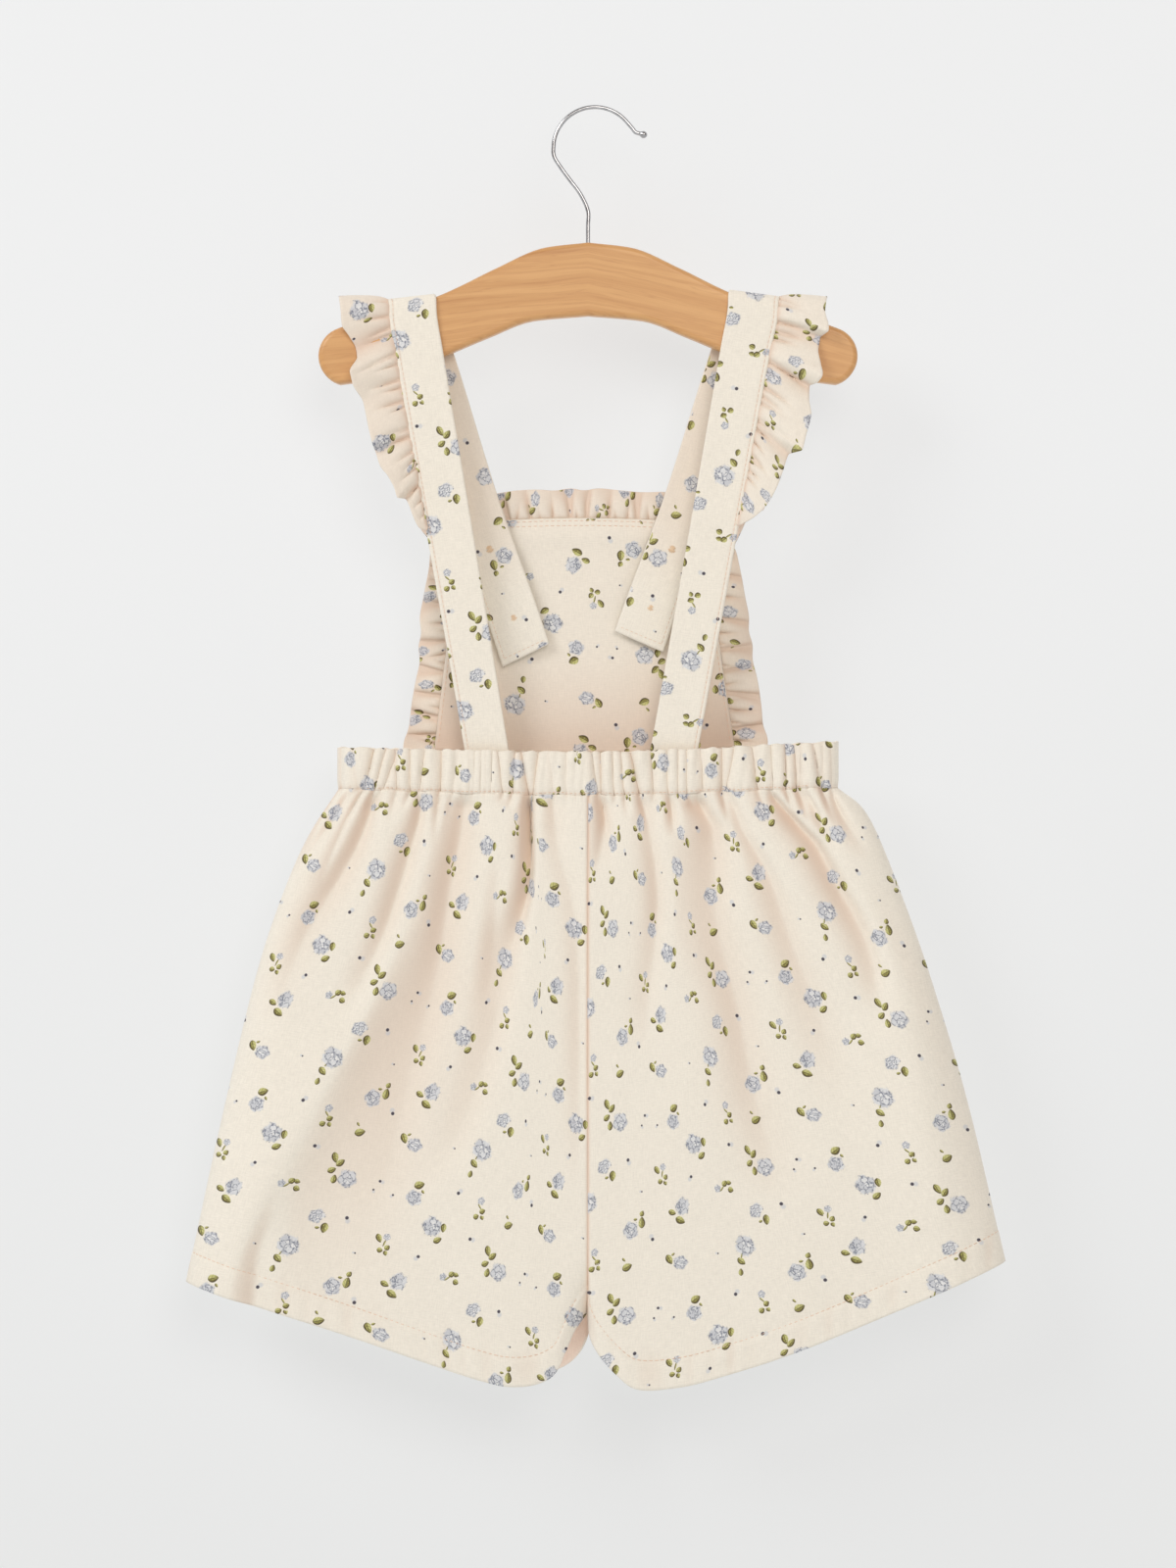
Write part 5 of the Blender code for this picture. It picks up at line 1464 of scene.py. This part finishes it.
def make_wood(finish):
    top, bottom = curve_through(WOOD_TOP), curve_through(WOOD_BOTTOM)
    out, up, radius = WOOD_END
    angles = np.radians(np.linspace(70, -75, 22))
    outs = np.linspace(0, WOOD_TOP[-1][0], 30)
    half = [(x, float(top(x))) for x in outs]
    half += [(out + radius * math.cos(a), up + radius * math.sin(a)) for a in angles]
    half += [(x, float(bottom(x))) for x in outs[::-1]]
    shape = bmesh.new()
    outline = half + [(-x, z) for x, z in half[-2:0:-1]]
    ring = [shape.verts.new((x * MM, -WOOD_THICK / 2 * MM, z * MM)) for x, z in outline]
    pushed = bmesh.ops.extrude_face_region(shape, geom=[shape.faces.new(ring)])["geom"]
    far = [item for item in pushed if isinstance(item, bmesh.types.BMVert)]
    bmesh.ops.translate(shape, vec=(0, WOOD_THICK * MM, 0), verts=far)
    made = link(mesh_from(shape, "hanger_wood_fine", 60), "hanger_wood_fine", finish)
    rounding = made.modifiers.new("Rounded edges", "BEVEL")
    rounding.width = WOOD_ROUNDING * MM
    rounding.segments = 6
    rounding.limit_method = "ANGLE"
    rounding.angle_limit = math.radians(60)
    rounding.harden_normals = True
    stand_for(made, "hanger_wood")


def make_hook(finish):
    """The wire along its middle line: stem, offset bend, round hook and out-turned tip."""
    x, z = HOOK_CENTRE
    angles = np.radians(np.linspace(HOOK_FROM, HOOK_TO, 60))
    circle = [(x + HOOK_RADIUS * math.cos(a), z + HOOK_RADIUS * math.sin(a)) for a in angles]
    bend = path_through([*STEM_BEND, circle[0], circle[7]])(np.linspace(0, 1, 48))
    tip = path_through([circle[-3], circle[-1], *HOOK_TIP])(np.linspace(0.2, 1, 18))
    rows = [(*point, 1.0) for point in ((0, STEM_DEEP), *bend, *circle[8:-2], *tip)]
    step = unit(tip[-1] - tip[-2]) * TIP_BALL_RADIUS
    for angle in np.radians(np.linspace(-35, 88, 12)):
        ball = TIP_BALL_RADIUS * math.cos(angle) / WIRE_RADIUS
        rows.append((*(tip[-1] + step * (1 + math.sin(angle))), ball))
    wire = bpy.data.curves.new("hanger_hook_fine", "CURVE")
    wire.dimensions = "3D"
    wire.bevel_depth = WIRE_RADIUS * MM
    wire.bevel_resolution = 6
    wire.use_fill_caps = True
    line = wire.splines.new("POLY")
    line.points.add(len(rows) - 1)
    for point, (x, z, radius) in zip(line.points, rows):
        point.co, point.radius = (x * MM, 0, z * MM, 1), radius
    stand_for(link(wire, "hanger_hook_fine", finish), "hanger_hook")


def make_button(node, side, place, back_of_disc, finish):
    """A dished round button, flat on the bib or the strap."""
    radius, thick = BUTTON_RADIUS, BUTTON_THICK

    def quarter(count):
        return [(math.cos(a), math.sin(a)) for a in np.linspace(0, math.pi / 2, count)]

    foot = [(radius - 0.5 + 0.5 * sin, 0.5 - 0.5 * cos) for cos, sin in quarter(5)]
    rim = [(radius - 1.1 + 1.1 * cos, thick - 0.8 + 0.8 * sin) for cos, sin in quarter(7)]
    dish = [(radius - 2.0, thick - 0.35), (radius - 2.8, thick - 0.6), (1.0, thick - 0.65)]
    profile = [(0.0, 0.0), *foot, *rim, *dish, (0.0, thick - 0.65)]
    shape = bmesh.new()
    points = [shape.verts.new((x * MM, 0, z * MM)) for x, z in profile]
    for a, b in zip(points, points[1:]):
        shape.edges.new((a, b))
    bmesh.ops.spin(shape, geom=shape.verts[:] + shape.edges[:], axis=(0, 0, 1), cent=(0, 0, 0),
                   angle=2 * math.pi, steps=48, use_merge=True)
    bmesh.ops.remove_doubles(shape, verts=shape.verts, dist=1e-6)
    made = link(mesh_from(shape, node + "_fine", 35), node + "_fine", finish)
    made.location = (side * place[0] * MM, back_of_disc * MM, place[1] * MM)
    made.rotation_euler = (-math.pi / 2, 0, 0)
    stand_for(made, node)


# The stage


def make_plane(name, corners, finish):
    mesh = bpy.data.meshes.new(name)
    mesh.from_pydata(corners, [], [(0, 1, 2, 3)])
    made = link(mesh, name, finish)
    return made


def area_light(name, place, target, size, power, colour=(1.0, 1.0, 1.0)):
    lamp = bpy.data.lights.new(name, "AREA")
    lamp.shape, lamp.size, lamp.energy, lamp.color = "DISK", size, power, colour
    made = link(lamp, name)
    made.location = place
    x, y, z = np.array(target, float) - np.array(place, float)
    made.rotation_euler = (math.atan2(math.hypot(x, y), -z), 0.0, math.atan2(-x, y))


def make_stage():
    wall_at, floor_at, reach = 0.05, -1.05, 4.0
    corners = ((-reach, 0), (reach, 0), (reach, 1), (-reach, 1))
    wall_paint = stage_material("wall_paint", (138, 141, 143), 0.70, 3.0, one_sided=True)
    ups = (floor_at, reach)
    wall = make_plane("wall", [(x, wall_at, ups[k]) for x, k in corners], wall_paint)
    wall.visible_shadow = False
    floor_paint = stage_material("floor_paint", (138, 141, 142), 0.67, 2.0)
    ends = (-reach, reach)
    make_plane("floor", [(x, ends[k], floor_at) for x, k in corners], floor_paint)
    world = bpy.data.worlds.new("soft_room")
    world.use_nodes = True
    background = world.node_tree.nodes["Background"]
    background.inputs["Color"].default_value = (1.0, 0.9, 0.84, 1.0)
    background.inputs["Strength"].default_value = 0.405
    bpy.context.scene.world = world
    area_light("key", (-2.1, -1.9, 1.5), (0, 0, -0.3), 1.6, 38)
    area_light("fill", (0.6, -3.0, 0.9), (0, 0, -0.2), 1.8, 31, (1.0, 0.95, 0.89))
    area_light("from_behind", (0.8, 2.4, 0.9), (0, 0, -0.4), 1.4, 8)
    bpy.context.scene.view_settings.view_transform = "Standard"


def make_camera():
    """Straight on at the garment's back, with the whole hanger and garment in view."""
    distance, view_height, middle = 2.6, 0.814, -0.350
    data = bpy.data.cameras.new("camera")
    data.sensor_width = 36.0
    data.lens = data.sensor_width * distance / view_height
    made = link(data, "camera")
    made.location = (0.0, -distance, middle)
    made.rotation_euler = (math.pi / 2, 0.0, 0.0)
    bpy.context.scene.camera = made


def main():
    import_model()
    finishes = (printed_cotton(), plain_cotton())
    thread = thread_material("peach_thread", (224, 190, 165), (243, 218, 198))
    tan_thread = thread_material("tan_thread", (222, 184, 142), (250, 230, 204))
    shell_white = button_material()

    hem_runs = []
    for face in (BACK, FRONT):
        make_band(face, finishes)
        for side in (LEFT, RIGHT):
            hem_runs.append(hem_run(make_leg(side, face, finishes, LEG_STEP[face])))
    make_bib(finishes)
    make_top_ruffle(finishes)
    stitches("hem_stitching", hem_runs, thread, 0.2, 2.2, 3.0)
    stitches("band_stitching", [band_run(BACK), band_run(FRONT)], thread, 0.17, 1.5, 2.4)
    stitches("bib_stitching", bib_runs(), thread, 0.2, 2.2, 3.0)
    seams, crosses = [], []
    for side in (LEFT, RIGHT):
        strap = Strap(side)
        make_strap(side, strap, finishes)
        make_strap_ruffle(side, strap, finishes)
        make_side_ruffle(side, finishes)
        seams += strap_runs(strap)
        for kind, place in zip(("fastened", "spare"), BUTTONS[side]):
            crosses += thread_cross(strap, place[1])
            node = f"button_{kind}_{SIDE_NAMES[side]}"
            make_button(node, side, place, BUTTON_BACKS[kind], shell_white)
    stitches("strap_stitching", seams, thread, 0.13, 1.9, 2.6)
    stitches("button_threads", crosses, tan_thread, 0.34, 4.2, 4.3)
    make_wood(wood_material())
    make_hook(chrome_material())
    make_stage()
    make_camera()


main()
